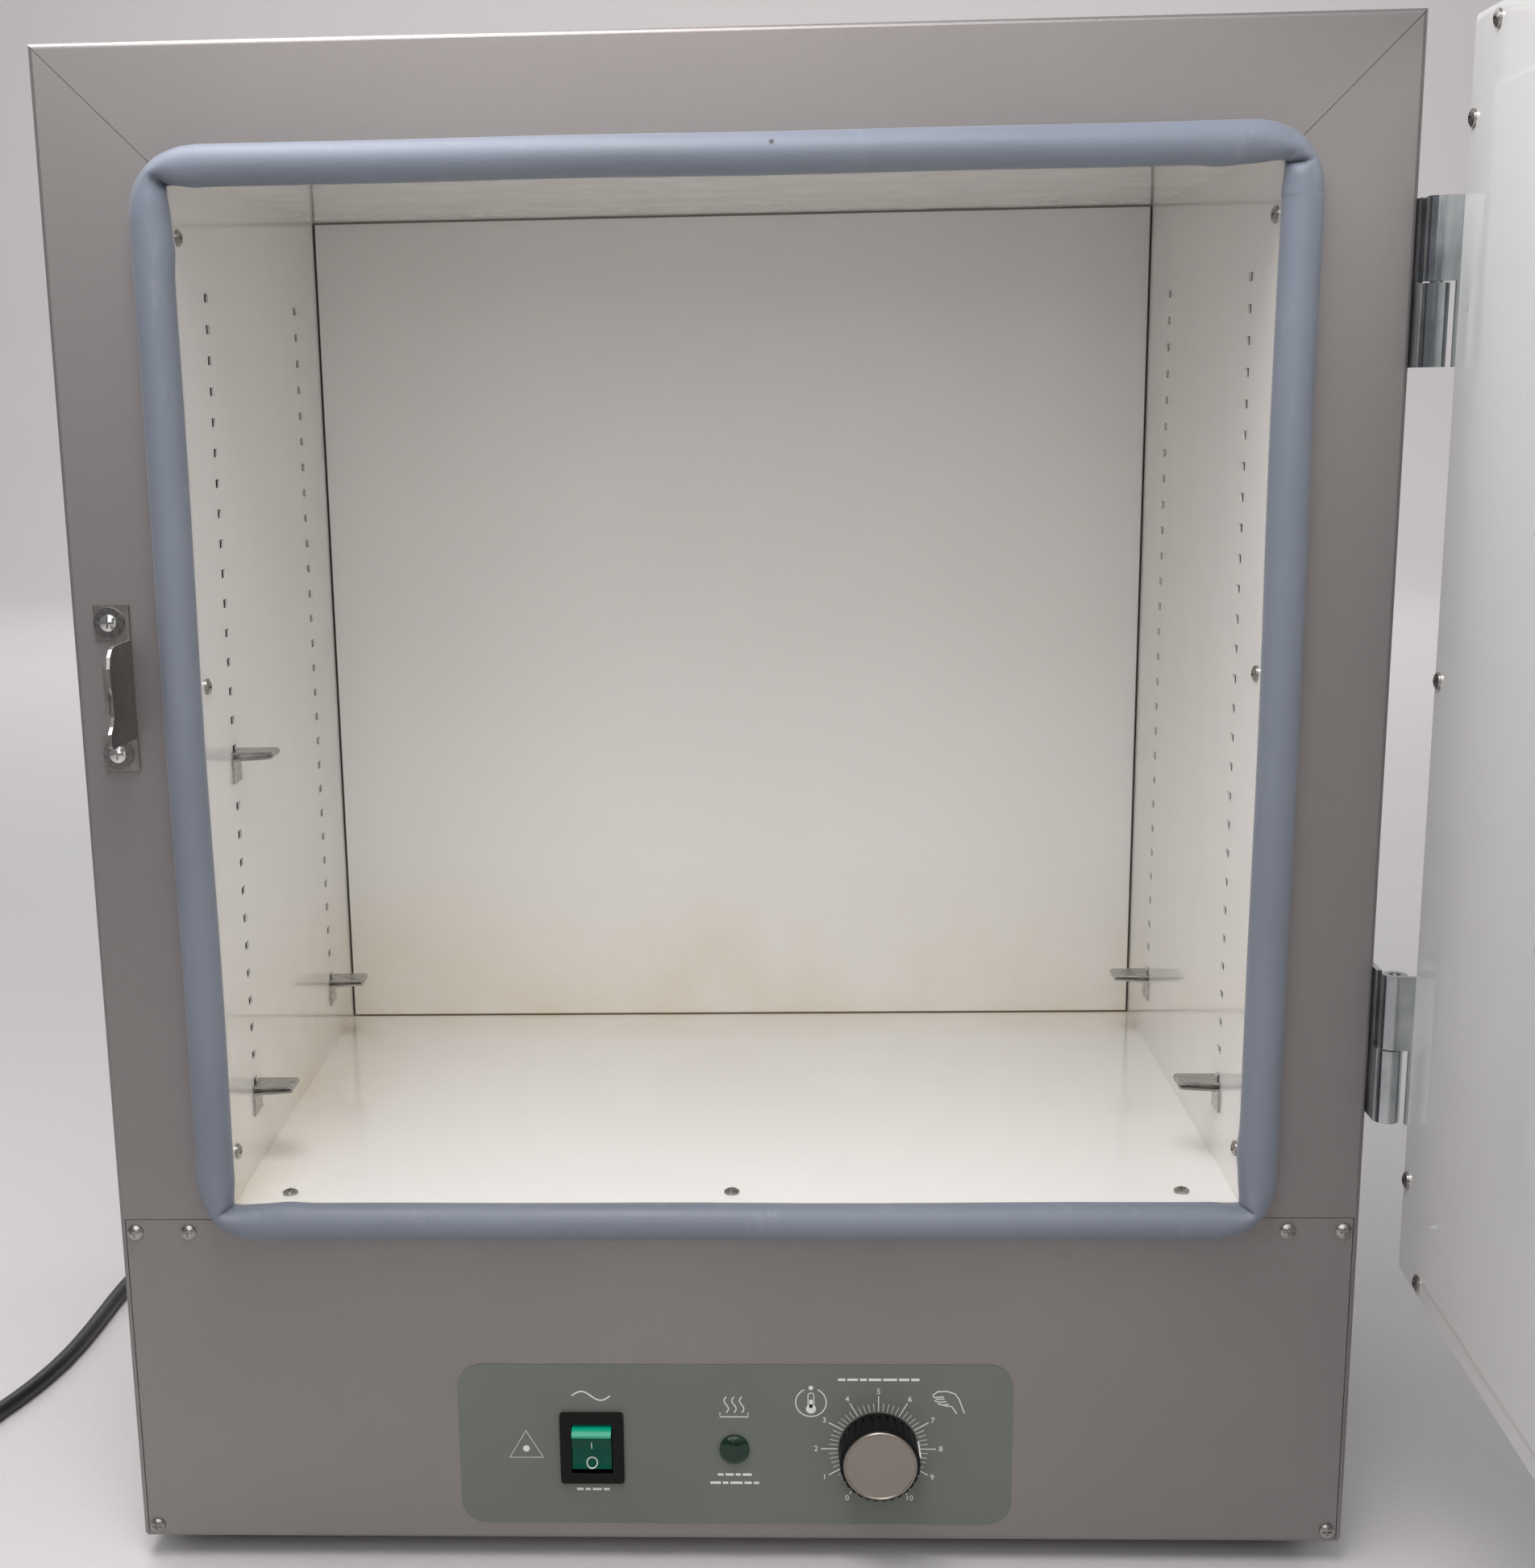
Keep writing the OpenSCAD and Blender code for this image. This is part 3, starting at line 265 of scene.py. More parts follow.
def case_paint():
    """Grey-brown metallic paint: fine grain, slow clouds and a few darker marks."""
    look = Look("case_paint", 0.42, 0.6)
    fine = look.noise(2400, 3.0)
    cloud = look.noise(7, 3.0)
    tone = look.mix(look.between(fine, 0.3, 0.7), rgb(138, 133, 131), rgb(151, 146, 144))
    tone = look.mix(look.between(cloud, 0.35, 0.75, 0.0, 0.35), tone, rgb(132, 126, 126))
    marks = look.between(look.noise(16, 4.0, rough=0.7), 0.66, 0.78, 0.0, 0.3)
    look.colour(look.mix(marks, tone, rgb(114, 108, 100)))
    look.rough(look.between(cloud, 0.3, 0.7, 0.38, 0.46))
    look.bump(fine, 0.00005)
    return look


# How far up and along the chamber's enamel is yellowed, in metres
STAIN_RISE, STAIN_REACH = 0.09, 0.05

# The dark joint between two sheets: it starts this far from the other sheet and is full this near
WALL_SEAM = (1.1 * MM, 0.7 * MM)
FLOOR_SEAM = (1.0 * MM, 0.6 * MM)


def chamber_enamel():
    """Glossy cream enamel, a little wavy, yellowed low down, with dark joints at the rear."""
    look = Look("chamber_enamel", 0.12, Coat_Weight=0.35, Coat_Roughness=0.04)
    x, y, z = (look.axis(name) for name in "XYZ")
    floor_z, rear_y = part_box("liner_floor")[1].z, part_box("liner_rear")[0].y
    left_x, top_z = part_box("liner_left")[1].x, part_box("liner_top")[0].z
    low = look.between(z, floor_z + STAIN_RISE, floor_z)
    rear = look.between(y, rear_y - STAIN_REACH, rear_y)
    left = look.between(x, left_x + STAIN_REACH, left_x)
    patches = look.between(look.noise(14, 5.0, rough=0.65), 0.38, 0.7)
    edge = look.product(low, look.maths("MAXIMUM", rear, left))
    stain = look.product(edge, look.between(patches, 0.0, 1.0, 0.25, 1.0))
    tone = look.mix(look.noise(9, 2.0), rgb(238, 236, 231), rgb(243, 241, 237))
    tone = look.mix(look.product(stain, 0.42), tone, rgb(218, 196, 138))
    at_rear = look.between(y, rear_y - WALL_SEAM[0], rear_y - WALL_SEAM[1])
    off_middle = look.maths("ABSOLUTE", x)
    at_side = look.between(off_middle, -left_x - WALL_SEAM[0], -left_x - WALL_SEAM[1])
    at_floor = look.between(z, floor_z + FLOOR_SEAM[0], floor_z + FLOOR_SEAM[1])
    at_top = look.between(z, top_z - FLOOR_SEAM[0], top_z - FLOOR_SEAM[1])
    tone = look.mix(look.product(at_rear, at_side), tone, rgb(52, 48, 42))
    tone = look.mix(look.product(at_rear, at_floor), tone, rgb(116, 92, 58))
    look.colour(look.mix(look.product(at_rear, at_top), tone, rgb(128, 124, 116)))
    look.rough(look.between(look.noise(30, 3.0), 0.3, 0.7, 0.09, 0.17))
    ripple = look.bump(look.noise(22, 1.0), 0.0006, 0.35)
    look.bump(look.noise(260, 1.0), 0.00004, 0.5, after=ripple)
    return look


def door_enamel():
    """Glossy grey-white enamel, a little wavy, with a few dark specks."""
    look = Look("door_enamel", 0.1, Coat_Weight=0.6, Coat_Roughness=0.02)
    tone = look.mix(look.noise(6, 2.0), rgb(214, 215, 212), rgb(222, 223, 220))
    specks = look.between(look.noise(130, 2.0), 0.74, 0.80, 0.0, 0.35)
    look.colour(look.mix(specks, tone, rgb(120, 118, 112)))
    look.rough(look.between(look.noise(25, 3.0), 0.3, 0.7, 0.07, 0.14))
    ripple = look.bump(look.noise(18, 1.0), 0.0005, 0.35)
    look.bump(look.noise(500, 2.0), 0.00004, 0.6, after=ripple)
    return look


ALL_WAYS = (1, 1, 1)


def plated(name, dark, light, rough, stretch, grain=160, depth=0.00006):
    """Plated or brushed metal: streaks along one direction, blotches of tone and gloss."""
    look = Look(name, rough, 1.0)
    streaks = look.noise(grain, 4.0, stretch)
    blotches = look.noise(70, 4.0)
    share = look.blend(blotches, streaks, (0.6, 0.4))
    look.colour(look.mix(look.between(share, 0.3, 0.7), dark, light))
    look.rough(look.between(streaks, 0.3, 0.7, rough - 0.05, rough + 0.07))
    look.bump(streaks, depth, 0.4)
    return look


def spun(name, node, dark, light, rough):
    """Aluminium faced on a lathe: rings round the node's middle."""
    look = Look(name, rough, 1.0)
    kind = "ShaderNodeVectorMath"
    centre = sum(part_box(node), Vector()) / 2
    away = look.add(kind, {"operation": "SUBTRACT"}, i0=look.place, i1=tuple(centre))
    flat = look.add(kind, {"operation": "MULTIPLY"}, i0=away.outputs[0], i1=(1, 0, 1))
    radius = look.add(kind, {"operation": "LENGTH"}, i0=flat.outputs[0]).outputs["Value"]
    noise = look.add("ShaderNodeTexNoise", {"noise_dimensions": "1D"},
                     W=radius, Scale=4200.0, Detail=3.0)
    rings = noise.outputs["Fac"]
    look.colour(look.mix(look.between(rings, 0.3, 0.7), dark, light))
    look.rough(look.between(rings, 0.3, 0.7, rough - 0.05, rough + 0.08))
    look.bump(rings, 0.00003, 0.6)
    return look


# A small dark spot near the front of the gasket's top run: its x, its place back from the front
# and below the top, its radius and the radius at which it has faded out, in mm
SPOT_X, SPOT_BACK, SPOT_DOWN = 20, 1.5, 5
SPOT_R, SPOT_RIM = 0.9, 1.5


def gasket_rubber():
    """Blue-grey rubber with lighter scuffs along it and one dark spot."""
    look = Look("gasket_rubber", 0.5, Sheen_Weight=0.15, Sheen_Roughness=0.4)
    slow = look.noise(12, 3.0)
    scuffs = look.between(look.noise(60, 5.0, (1, 1, 0.35), 0.7), 0.6, 0.75, 0.0, 0.35)
    tone = look.mix(slow, rgb(110, 117, 129), rgb(127, 134, 146))
    tone = look.mix(scuffs, tone, rgb(148, 154, 163))
    low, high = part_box("gasket")
    spot = (SPOT_X * MM, low.y + SPOT_BACK * MM, high.z - SPOT_DOWN * MM)
    away = look.add("ShaderNodeVectorMath", {"operation": "DISTANCE"}, i0=look.place, i1=spot)
    dot = look.between(away.outputs["Value"], SPOT_R * MM, SPOT_RIM * MM, 1.0, 0.0)
    look.colour(look.mix(dot, tone, rgb(40, 42, 46)))
    look.rough(look.between(slow, 0.3, 0.7, 0.42, 0.56))
    look.bump(look.noise(900, 2.0), 0.00008)
    return look


# The painted highlight on the rocker's top end: it starts and is full this far below the rocker's top, in metres
ROCKER_PAINTED_HIGHLIGHT = (0.0045, 0.0030)


def rocker_green():
    """Clear green plastic, dark, with a painted highlight on its top end."""
    look = Look("rocker_green", 0.16, Transmission_Weight=0.1, IOR=1.49, Specular_IOR_Level=0.15)
    depth = look.noise(220, 2.0)
    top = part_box("rocker")[1].z
    # painted highlight: the top few mm are painted brighter, as if lit from above
    painted_highlight = look.between(look.axis("Z"), top - ROCKER_PAINTED_HIGHLIGHT[0], top - ROCKER_PAINTED_HIGHLIGHT[1])
    body = look.mix(depth, rgb(4, 74, 58), rgb(8, 88, 70))
    # the bright green is the colour of the painted highlight on the top end
    look.colour(look.mix(painted_highlight, body, rgb(10, 176, 136)))
    look.rough(look.between(depth, 0.3, 0.7, 0.12, 0.22))
    look.bump(look.noise(600, 2.0), 0.00003)
    return look


def lens_green():
    """Dark green lens with small cells."""
    look = Look("lens_green", 0.12, Transmission_Weight=0.15, IOR=1.49,
                Coat_Weight=0.1, Coat_Roughness=0.05)
    cells = look.add("ShaderNodeTexVoronoi", Vector=look.place, Scale=620.0).outputs["Distance"]
    look.colour(look.mix(look.between(cells, 0.0, 0.6), rgb(4, 28, 18), rgb(10, 52, 34)))
    look.bump(cells, 0.0002, 0.4)
    return look


def make_looks():
    """One look for each material slot."""
    upright, across = (1, 1, 0.1), (0.15, 1, 1)
    return {look.name: look for look in (
        case_paint(),
        chamber_enamel(),
        door_enamel(),
        plated("zinc", rgb(146, 151, 153), rgb(200, 204, 205), 0.17, upright, 240, depth=0.00003),
        plated("stainless", rgb(160, 158, 154), rgb(200, 198, 194), 0.26, across, 700),
        plated("dark_screw", rgb(138, 135, 132), rgb(188, 185, 181), 0.24, ALL_WAYS, 900),
        speckled("overlay", rgb(100, 105, 97), rgb(114, 119, 110), 0.5, 2600, 0.00006, 9),
        speckled("black_plastic", rgb(6, 6, 7), rgb(13, 13, 14), 0.42, 1400, 0.00008, 20,
                 Specular_IOR_Level=0.22),
        rocker_green(),
        lens_green(),
        spun("aluminium", "knob_cap", rgb(132, 125, 117), rgb(170, 163, 154), 0.36),
        speckled("pointer_white", rgb(222, 222, 216), rgb(240, 240, 236), 0.45, 1800, 0.00003),
        plated("copper", rgb(168, 104, 70), rgb(206, 140, 104), 0.3, (1, 0.1, 1)),
        speckled("heater_sheath", rgb(70, 64, 58), rgb(112, 104, 96), 0.6, 500, 0.0001, 12, 0.6),
        speckled("terminal_plastic", rgb(214, 208, 186), rgb(230, 226, 208), 0.5, 900, 0.00006),
        gasket_rubber(),
        speckled("foot_rubber", rgb(22, 22, 22), rgb(40, 40, 39), 0.75, 1100, 0.00015),
        speckled("cord_rubber", rgb(16, 16, 17), rgb(34, 34, 35), 0.42, 700, 0.0001, 15),
        speckled("wool", rgb(66, 60, 46), rgb(98, 90, 70), 0.95, 260, 0.001, 40),
    )}


def paint_nodes(looks):
    """Each CAD node in its slot's material; the strike's metals differ from each other."""
    slots = {row["node"]: row["material_slot"] for row in frame["record"]["subparts"]}
    special = {
        "strike": plated("satin_steel", rgb(146, 142, 138), rgb(172, 168, 163), 0.3,
                         (1, 1, 0.2), 500, depth=0.00002),
        "strike_washers": plated("washer_steel", rgb(128, 126, 123), rgb(164, 162, 158), 0.24,
                                 ALL_WAYS, 800),
        "strike_screws": plated("bright_nickel", rgb(206, 204, 200), rgb(232, 230, 227), 0.13,
                                ALL_WAYS, 800),
    }
    for name, node in NODES.items():
        node.data.materials.clear()
        node.data.materials.append(special.get(name, looks[slots[name]]).material)


# ---------- mesh helpers ----------

def solid_mesh(name, points, faces):
    """A mesh whose faces all look outward."""
    mesh = bpy.data.meshes.new(name)
    mesh.from_pydata(points, [], faces)
    mesh.update()
    fix = bmesh.new()
    fix.from_mesh(mesh)
    bmesh.ops.recalc_face_normals(fix, faces=fix.faces)
    fix.to_mesh(mesh)
    fix.free()
    return mesh


def piece(name, mesh, body, slot, looks, smooth):
    """A finished mesh as a piece that rides on a body and wears a slot's material.

    Edges sharper than smooth, in degrees, stay sharp."""
    item = bpy.data.objects.new(name, mesh)
    bpy.context.scene.collection.objects.link(item)
    mesh.materials.append(looks[slot].material)
    mesh.polygons.foreach_set("use_smooth", [True] * len(mesh.polygons))
    mesh.set_sharp_from_angle(angle=math.radians(smooth))
    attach(item, body)
    return item


def closed_loft(name, rings):
    """A mesh through rings of points that all have the same count, back to the first ring."""
    count = len(rings[0])
    faces = []
    for i in range(len(rings)):
        a, b = i * count, (i + 1) % len(rings) * count
        faces += [(a + k, a + (k + 1) % count, b + (k + 1) % count, b + k) for k in range(count)]
    return solid_mesh(name, [p for ring in rings for p in ring], faces)


# ---------- gasket ----------

GASKET_R = 8.0
GASKET_BEND = 20.0
GASKET_SIDES = 44
CORNER_STEPS, RUN_STEPS = 48, 60

# Corners go top right, top left, bottom left, bottom right
RIGHT_CORNERS, TOP_CORNERS = (0, 3), (0, 1)

# For each corner: direction of its fold in degrees, length, depth and half width in mm
FOLDS = [(2, 12, 4.6, 0.8), (140, 8, 6.0, 1.3), (200, 8, 2.6, 0.8), (-24, 8, 2.6, 0.8)]

# Where a run swells beside a corner, and how long the swelling is, in mm along the run
SWELL_AT, SWELL_LENGTH = 11, 7

# A corner's inside is squeezed most in the middle of its bend, over this many degrees each way
SQUEEZE = 21


def gasket_path(x, low, high):
    """Stations round the gasket: the point on its line, the outward direction, how far into a
    corner (0 to 90 degrees, or None on a straight run), which corner, how far along a run."""
    r = GASKET_BEND
    stations = []
    corners = [(x - r, high - r, 0), (-x + r, high - r, 90),
               (-x + r, low + r, 180), (x - r, low + r, 270)]
    for number, (cx, cz, start) in enumerate(corners):
        for step in range(CORNER_STEPS + 1):
            turn = 90 * step / CORNER_STEPS
            a = math.radians(start + turn)
            out = Vector((math.cos(a), 0, math.sin(a)))
            stations.append((Vector((cx, 0, cz)) + out * r, out, turn, number, 0.0))
        nx, nz, _ = corners[(number + 1) % 4]
        begin = Vector((cx, 0, cz)) + out * r
        end = Vector((nx, 0, nz)) + out * r
        for step in range(1, RUN_STEPS):
            share = ease(step / RUN_STEPS)
            gone = share * (end - begin).length
            stations.append((begin.lerp(end, share), out, None, number, gone))
    return stations


def fold_depth(number, u, v):
    """How far a corner's fold pushes the front back, at u, v mm from the corner's inner point."""
    angle, length, depth, width = FOLDS[number]
    a = math.radians(angle)
    along = u * math.cos(a) + v * math.sin(a)
    across = -u * math.sin(a) + v * math.cos(a)
    reach = ease((along + 2.0) / 2.5) * (1 - ease((along - 0.35 * length) / (0.65 * length)))
    crease = math.exp(-(across / width) ** 2)
    dent = 0.35 * math.exp(-(across / (3.2 * width)) ** 2)
    return depth * reach * (crease + dent)


def gasket_wander(line):
    """How far a run strays from its straight line, about -1 to 1 mm."""
    slow = 0.5 * math.sin(line.x / 61 + line.z / 47)
    return slow + 0.35 * math.sin(line.x / 23 - line.z / 31 + 1.3)


def gasket_edges(line, turn, gone):
    """The tube's inner and outer edge at a station, in mm out from the bend's centre line."""
    inner, outer = GASKET_BEND - GASKET_R, GASKET_BEND + GASKET_R
    if turn is None:
        wander = gasket_wander(line)
        swell = math.exp(-((gone - SWELL_AT) / SWELL_LENGTH) ** 2)
        inner -= 0.45 * wander * ease(gone / 30) + 0.9 * swell
        outer -= 0.35 * wander * ease(gone / 30)
    else:
        a = math.radians(turn)
        squeeze = math.exp(-((turn - 45) / SQUEEZE) ** 2)
        inner = inner / max(math.cos(a), math.sin(a)) + 1.4 * squeeze
        outer += 0.7 * math.sin(2 * a) ** 2
    return inner, outer


def make_gasket(looks):
    """The tubular seal. Its corners are squeezed inside and folded; its runs wander a little."""
    low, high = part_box("gasket")
    x = high.x / MM - GASKET_R
    z_low, z_high = low.z / MM + GASKET_R, high.z / MM - GASKET_R
    mouth_x, mouth_low, mouth_high = x - GASKET_R, z_low + GASKET_R, z_high - GASKET_R
    rings = []
    for line, out, turn, number, gone in gasket_path(x, z_low, z_high):
        inner, outer = gasket_edges(line, turn, gone)
        mid, half = (inner + outer) / 2, (outer - inner) / 2
        corner_x = mouth_x if number in RIGHT_CORNERS else -mouth_x
        corner_z = mouth_high if number in TOP_CORNERS else mouth_low
        ring = []
        for k in range(GASKET_SIDES):
            t = 2 * math.pi * k / GASKET_SIDES
            point = line + out * (mid + half * math.cos(t) - GASKET_BEND)
            y = -GASKET_R + GASKET_R * math.sin(t)
            if turn is not None:
                front = max(0.0, -math.sin(t))
                fold = fold_depth(number, point.x - corner_x, point.z - corner_z)
                y += fold * min(1.0, front * 1.6)
            ring.append(at(point.x, y, point.z))
        rings.append(ring)
    mesh = closed_loft("door_seal", rings)
    seal = piece("door_seal", mesh, "cabinet", "gasket_rubber", looks, 60)
    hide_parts("gasket")


# ---------- printed marks ----------

PRINT_T = 0.06
PRINT_SMOOTH = 30
FINE, THIN, BOLD = 0.35, 0.45, 0.6

# The dial: degrees of turn, the numbers' radius and height, and the scale's lines in mm
DIAL_SWEEP = 300
NUMBER_R, NUMBER_SIZE = 27.4, 3.6
SCALE_INNER, LONG_OUTER, SHORT_OUTER = 17.9, 25.2, 21.8
SCALE_NUMBERS, SCALE_PARTS = 10, 5

# The plain bars that stand for words
WORD_GAP, WORD_HEIGHT = 0.9, 1.1


class Print:
    """Flat ink laid on a face: strokes and fills are drawn in millimetres and lifted by place()."""

    def __init__(self, place):
        self.place = place
        self.points = []
        self.faces = []

    def plate(self, outline):
        """A filled convex outline with the ink's thickness."""
        n = len(outline)
        first = len(self.points)
        for lift in (PRINT_T, 0.0):
            self.points += [self.place(u, v, lift) for u, v in outline]
        self.faces.append(tuple(first + k for k in range(n)))
        for k in range(n):
            j = (k + 1) % n
            self.faces.append((first + k, first + n + k, first + n + j, first + j))

    def stroke(self, path, width, closed=False):
        """A line of even width along a path."""
        n = len(path)
        half = width / 2
        sides = []
        for i in range(n):
            a = path[i - 1] if closed or i else path[0]
            b = path[(i + 1) % n] if closed or i < n - 1 else path[-1]
            du, dv = b[0] - a[0], b[1] - a[1]
            size = math.hypot(du, dv) or 1.0
            u, v = path[i]
            off_u, off_v = dv / size * half, du / size * half
            sides.append(((u - off_u, v + off_v), (u + off_u, v - off_v)))
        for i in range(n if closed else n - 1):
            (p, q), (r, s) = sides[i], sides[(i + 1) % n]
            self.plate([p, r, s, q])

    def ring(self, u, v, radius, width, start=0, sweep=360, steps=40):
        """A round line, or a part of one from start on, in degrees."""
        closed = sweep >= 360
        count = steps if closed else steps + 1
        angles = [math.radians(start + sweep * i / steps) for i in range(count)]
        path = [(u + radius * math.cos(a), v + radius * math.sin(a)) for a in angles]
        self.stroke(path, width, closed)

    def disc(self, u, v, radius, steps=24):
        angles = [2 * math.pi * i / steps for i in range(steps)]
        self.plate([(u + radius * math.cos(a), v + radius * math.sin(a)) for a in angles])

    def finish(self, name, body, looks):
        mesh = solid_mesh(name, self.points, self.faces)
        piece(name, mesh, body, "pointer_white", looks, PRINT_SMOOTH)


def overlay_place(u, v, lift):
    """On the control overlay's face: u to the right, v up from the floor."""
    face_y = (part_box("control_overlay")[0].y - FRONT_Y) / MM
    return at(u, face_y - lift, v)


def wave(u, v, width, height, steps=28):
    """One sine wave, with its middle at u, v."""
    return [(u + width * (t / steps - 0.5), v + height * math.sin(2 * math.pi * t / steps))
            for t in range(steps + 1)]


def make_symbols(looks):
    """The symbols on the control overlay. They are generic ones, drawn in mm."""
    ink = Print(overlay_place)
    switch, lamp, dial = middle("switch_body"), middle("lamp_lens"), middle("knob_skirt")
    # alternating current, above the switch
    ink.stroke(wave(switch.x, switch.z + 24.6, 17, 2.1), BOLD)
    # plain triangle with a dot, left of the switch
    u, v = switch.x - 29.3, switch.z + 0.4
    ink.stroke([(u - 7.4, v - 5.4), (u + 7.4, v - 5.4), (u, v + 7.4)], 0.4, closed=True)
    ink.disc(u, v - 1.2, 1.5)
    # heat rising from a tray, above the lamp
    u, v = lamp.x, lamp.z + 19.8
    for shift in (-3.4, 0, 3.4):
        ink.stroke([(u + shift + 0.95 * math.sin(2 * math.pi * t / 14), v - 2.6 + 7.6 * t / 14)
                    for t in range(15)], THIN)
    ink.stroke([(u - 6.2, v - 2.6), (u - 6.2, v - 4.6), (u + 6.2, v - 4.6), (u + 6.2, v - 2.6)],
               THIN)
    # thermometer in a ring, left of the scale
    u, v = dial.x - 29.6, dial.z + 22.2
    ink.ring(u, v, 6.7, THIN, 116, 308)
    ink.disc(u, v - 3.1, 2.2)
    ink.stroke([(u, v - 2.6), (u, v + 1.2)], 1.5)
    ink.ring(u, v + 3.2, 1.3, FINE, 0, 180, 12)
    for side in (-1, 1):
        ink.stroke([(u + side * 1.3, v + 3.2), (u + side * 1.3, v - 1.2)], FINE)
    ink.disc(u, v + 6.9, 1.0)
    # hand on a knob, right of the scale
    u, v = dial.x + 30.7, dial.z + 22.8
    ink.stroke([(u - 7.0, v + 3.0), (u - 5.0, v + 4.6), (u - 1.0, v + 4.8),
                (u + 2.6, v + 3.6), (u + 4.4, v + 1.0), (u + 6.8, v - 5.6)], THIN)
    ink.stroke([(u - 7.0, v + 3.0), (u - 6.6, v + 1.8), (u - 2.2, v + 2.2)], THIN)
    for k in range(3):
        ink.stroke([(u - 5.6 + k * 1.3, v + 0.9 - k * 1.3),
                    (u - 2.0 + k * 1.0, v + 1.2 - k * 1.3)], THIN)
    ink.stroke([(u - 5.6, v + 0.9), (u - 6.2, v + 0.2), (u - 4.3, v - 0.4), (u - 4.9, v - 1.1),
                (u - 3.0, v - 1.7), (u - 1.0, v - 2.2), (u + 1.2, v - 2.4), (u + 3.4, v - 5.8)],
               THIN)
    ink.finish("overlay_symbols", "cabinet", looks)


def dial_angle(number, count):
    """The angle, in radians, of a line or a number: 0 is the scale's start and count is its end."""
    return math.radians(90 + DIAL_SWEEP / 2 - DIAL_SWEEP * number / count)


def round_dial(dial, angle, radius):
    """A point on the overlay at an angle and a distance from the dial's middle."""
    return dial.x + radius * math.cos(angle), dial.z + radius * math.sin(angle)


def make_scale(looks):
    """The dial's scale: a line for each number, four fine ones between, and bars for words."""
    ink = Print(overlay_place)
    dial, switch, lamp = middle("knob_skirt"), middle("switch_body"), middle("lamp_lens")
    lines = SCALE_NUMBERS * SCALE_PARTS
    for i in range(lines + 1):
        a = dial_angle(i, lines)
        outer, width = (LONG_OUTER, THIN) if i % SCALE_PARTS == 0 else (SHORT_OUTER, 0.26)
        ink.stroke([round_dial(dial, a, SCALE_INNER), round_dial(dial, a, outer)], width)
    words = [
        (dial.x, dial.z + 33.0, [3.2, 4.6, 3.0, 5.4, 6.0, 4.4, 3.6]),
        (switch.x, switch.z - 20.4, [3.0, 2.2, 4.0, 2.6]),
        (lamp.x, lamp.z - 12.6, [2.6, 3.6, 2.2, 4.0]),
        (lamp.x, lamp.z - 16.6, [4.6, 2.4, 5.4, 3.2, 2.4]),
    ]
    for u, v, bars in words:
        left = u - (sum(bars) + WORD_GAP * (len(bars) - 1)) / 2
        low, high = v - WORD_HEIGHT / 2, v + WORD_HEIGHT / 2
        for width in bars:
            right = left + width
            ink.plate([(left, low), (right, low), (right, high), (left, high)])
            left += width + WORD_GAP
    ink.finish("dial_scale", "cabinet", looks)


def make_numbers(looks):
    """Numbers 0 to 10 round the scale."""
    dial = middle("knob_skirt")
    made = []
    for value in range(SCALE_NUMBERS + 1):
        u, v = round_dial(dial, dial_angle(value, SCALE_NUMBERS), NUMBER_R)
        data = bpy.data.curves.new("digit", "FONT")
        data.body = str(value)
        data.size = NUMBER_SIZE * MM
        data.align_x, data.align_y = "CENTER", "CENTER"
        data.extrude = PRINT_T * MM / 2
        text = bpy.data.objects.new("digit", data)
        bpy.context.scene.collection.objects.link(text)
        text.rotation_euler = (math.pi / 2, 0, 0)
        text.location = overlay_place(u, v, PRINT_T / 2)
        made.append(text)
    bpy.context.view_layer.update()
    graph = bpy.context.evaluated_depsgraph_get()
    whole = bmesh.new()
    for text in made:
        mesh = bpy.data.meshes.new_from_object(text.evaluated_get(graph))
        mesh.transform(text.matrix_world)
        whole.from_mesh(mesh)
        bpy.data.objects.remove(text)
    mesh = bpy.data.meshes.new("dial_numbers")
    whole.to_mesh(mesh)
    whole.free()
    piece("dial_numbers", mesh, "cabinet", "pointer_white", looks, PRINT_SMOOTH)


# The rocker's face at rest: its tilt in degrees, and the dish's radius and the distance of the
# dish's centre in front of the pivot, in mm
ROCKER_TILT = 9
ROCKER_DISH = 15.5
ROCKER_DISH_OUT = 20.7


def rocker_place(u, v, lift):
    """On the rocker's dished face: u to the right of its middle, v up from its pivot."""
    pivot = Vector(JOINTS["switch_rock"]["pos_m"])
    out = ROCKER_DISH_OUT - math.sqrt(ROCKER_DISH ** 2 - v ** 2) + lift
    turned = Matrix.Rotation(math.radians(ROCKER_TILT), 3, "X") @ Vector((0, -out, v))
    return pivot + Vector((u, turned.y, turned.z)) * MM


def make_rocker_marks(looks):
    """The line for on and the ring for off; the line follows the dish in short pieces."""
    ink = Print(rocker_place)
    ink.stroke([(0, 1.2), (0, 2.5), (0, 3.8), (0, 5.0)], 0.4)
    ink.ring(0, -5.4, 2.3, 0.44, steps=32)
    ink.finish("rocker_marks", "rocker", looks)


# ---------- stage and light ----------

# The paper sweep in metres: where it stands behind the incubator, its height, the radius of its
# bend, and half its width, which is also how far it reaches to the front
SWEEP_Y, SWEEP_RISE, SWEEP_BEND, SWEEP_HALF = 6.5, 7.0, 2.0, 9.0


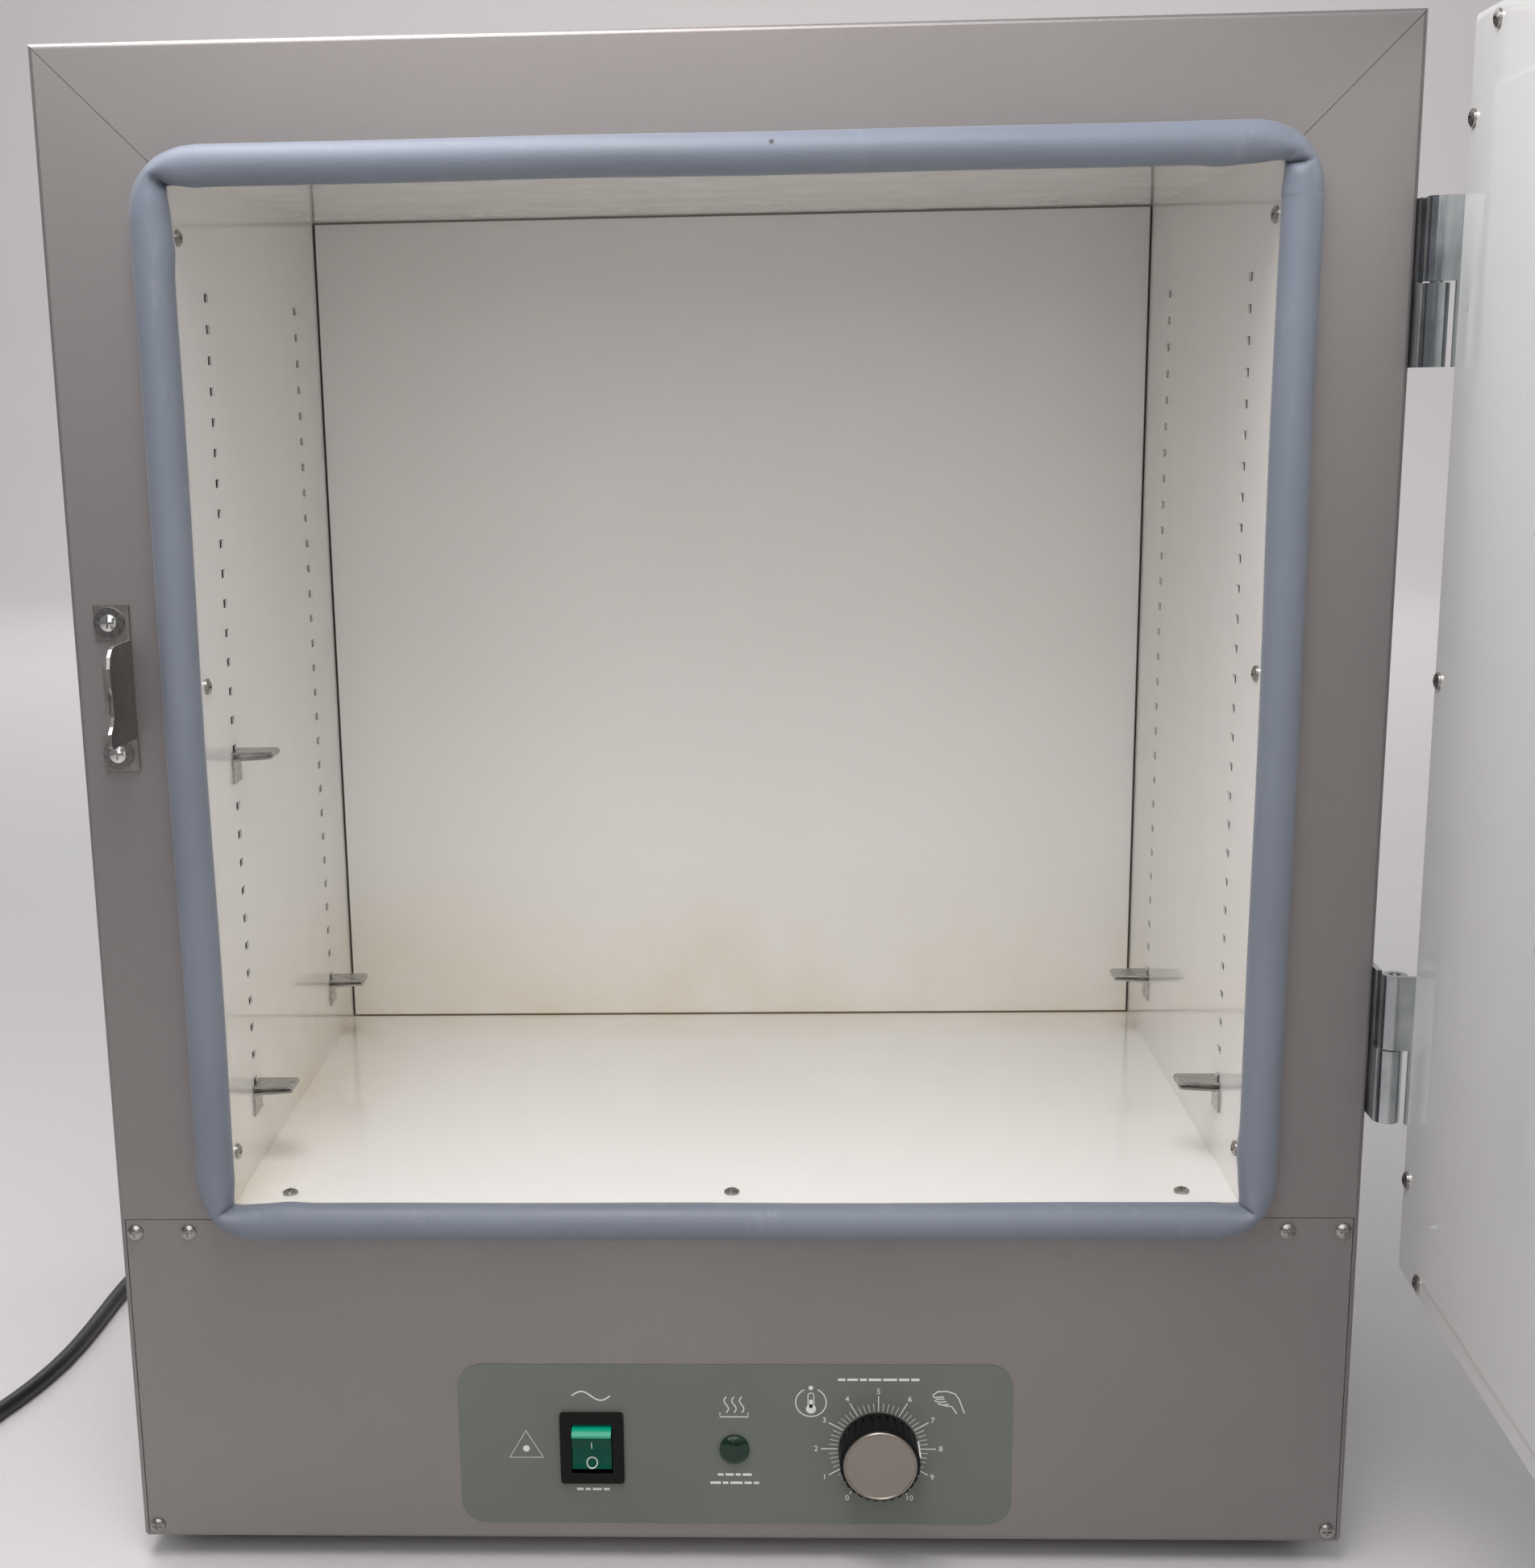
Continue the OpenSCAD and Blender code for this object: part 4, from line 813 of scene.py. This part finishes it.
def make_stage():
    """A pale floor that bends up into a backdrop."""
    look = speckled("floor", rgb(203, 200, 199), rgb(209, 206, 205), 0.6, 300, 0.0001, 2)
    mesh = bpy.data.meshes.new("floor")
    bend, half = SWEEP_BEND, SWEEP_HALF
    profile = [(-half, 0.0)] + [
        (SWEEP_Y - bend + bend * math.sin(math.radians(a)), bend - bend * math.cos(math.radians(a)))
        for a in range(0, 91, 6)
    ] + [(SWEEP_Y, SWEEP_RISE)]
    points = [(x, y, z) for y, z in profile for x in (-half, half)]
    faces = [(2 * i, 2 * i + 1, 2 * i + 3, 2 * i + 2) for i in range(len(profile) - 1)]
    mesh.from_pydata(points, [], faces)
    mesh.materials.append(look.material)
    mesh.polygons.foreach_set("use_smooth", [True] * len(mesh.polygons))
    floor = bpy.data.objects.new("floor", mesh)
    bpy.context.scene.collection.objects.link(floor)


def area_light(name, place, target, size, power, colour):
    """A rectangular light of a width and a height, in metres, at a place and aimed at a target."""
    data = bpy.data.lights.new(name, "AREA")
    data.shape = "RECTANGLE"
    data.size, data.size_y = size
    data.energy = power
    data.color = colour
    light = bpy.data.objects.new(name, data)
    bpy.context.scene.collection.objects.link(light)
    light.location = place
    light.rotation_euler = (Vector(target) - Vector(place)).to_track_quat("-Z", "Y").to_euler()


def make_light():
    """Soft light from all round. Each light's row is what area_light takes."""
    world = bpy.data.worlds.new("room")
    bpy.context.scene.world = world
    world.use_nodes = True
    background = world.node_tree.nodes["Background"]
    background.inputs["Color"].default_value = (0.92, 0.93, 1.0, 1)
    background.inputs["Strength"].default_value = 0.22
    lights = [
        ("overhead", (-0.2, -0.38, 1.15), (0, -0.28, 0.3), (1.2, 0.36), 11.5, (1.0, 0.98, 1.0)),
        ("front_fill", (-0.2, -2.1, 1.35), (0, 0, 0.4), (1.8, 1.2), 13.5, (1.0, 0.99, 0.985)),
        ("backdrop", (0, 3.0, 3.4), (0, 5.6, 0.0), (6.0, 1.2), 150, (1.0, 0.985, 0.99)),
        ("right_fill", (2.3, 0.5, 1.5), (0.3, 0, 0.25), (1.4, 1.0), 13, (0.99, 0.99, 1.0)),
        ("left_fill", (-2.3, 0.5, 1.5), (-0.3, 0, 0.25), (1.4, 1.0), 7, (0.99, 0.99, 1.0)),
        ("rear_fill", (-1.2, 3.2, 2.6), (0, 0.2, 0.3), (2.4, 1.6), 16, (0.99, 0.99, 1.0)),
    ]
    for light in lights:
        area_light(*light)
    bpy.context.scene.view_settings.view_transform = "Standard"


# ---------- build ----------

make_camera()
lead = make_cord()
looks = make_looks()
paint_nodes(looks)
lead.data.materials.append(looks["cord_rubber"].material)
make_gasket(looks)
make_symbols(looks)
make_scale(looks)
make_numbers(looks)
make_rocker_marks(looks)
make_stage()
make_light()
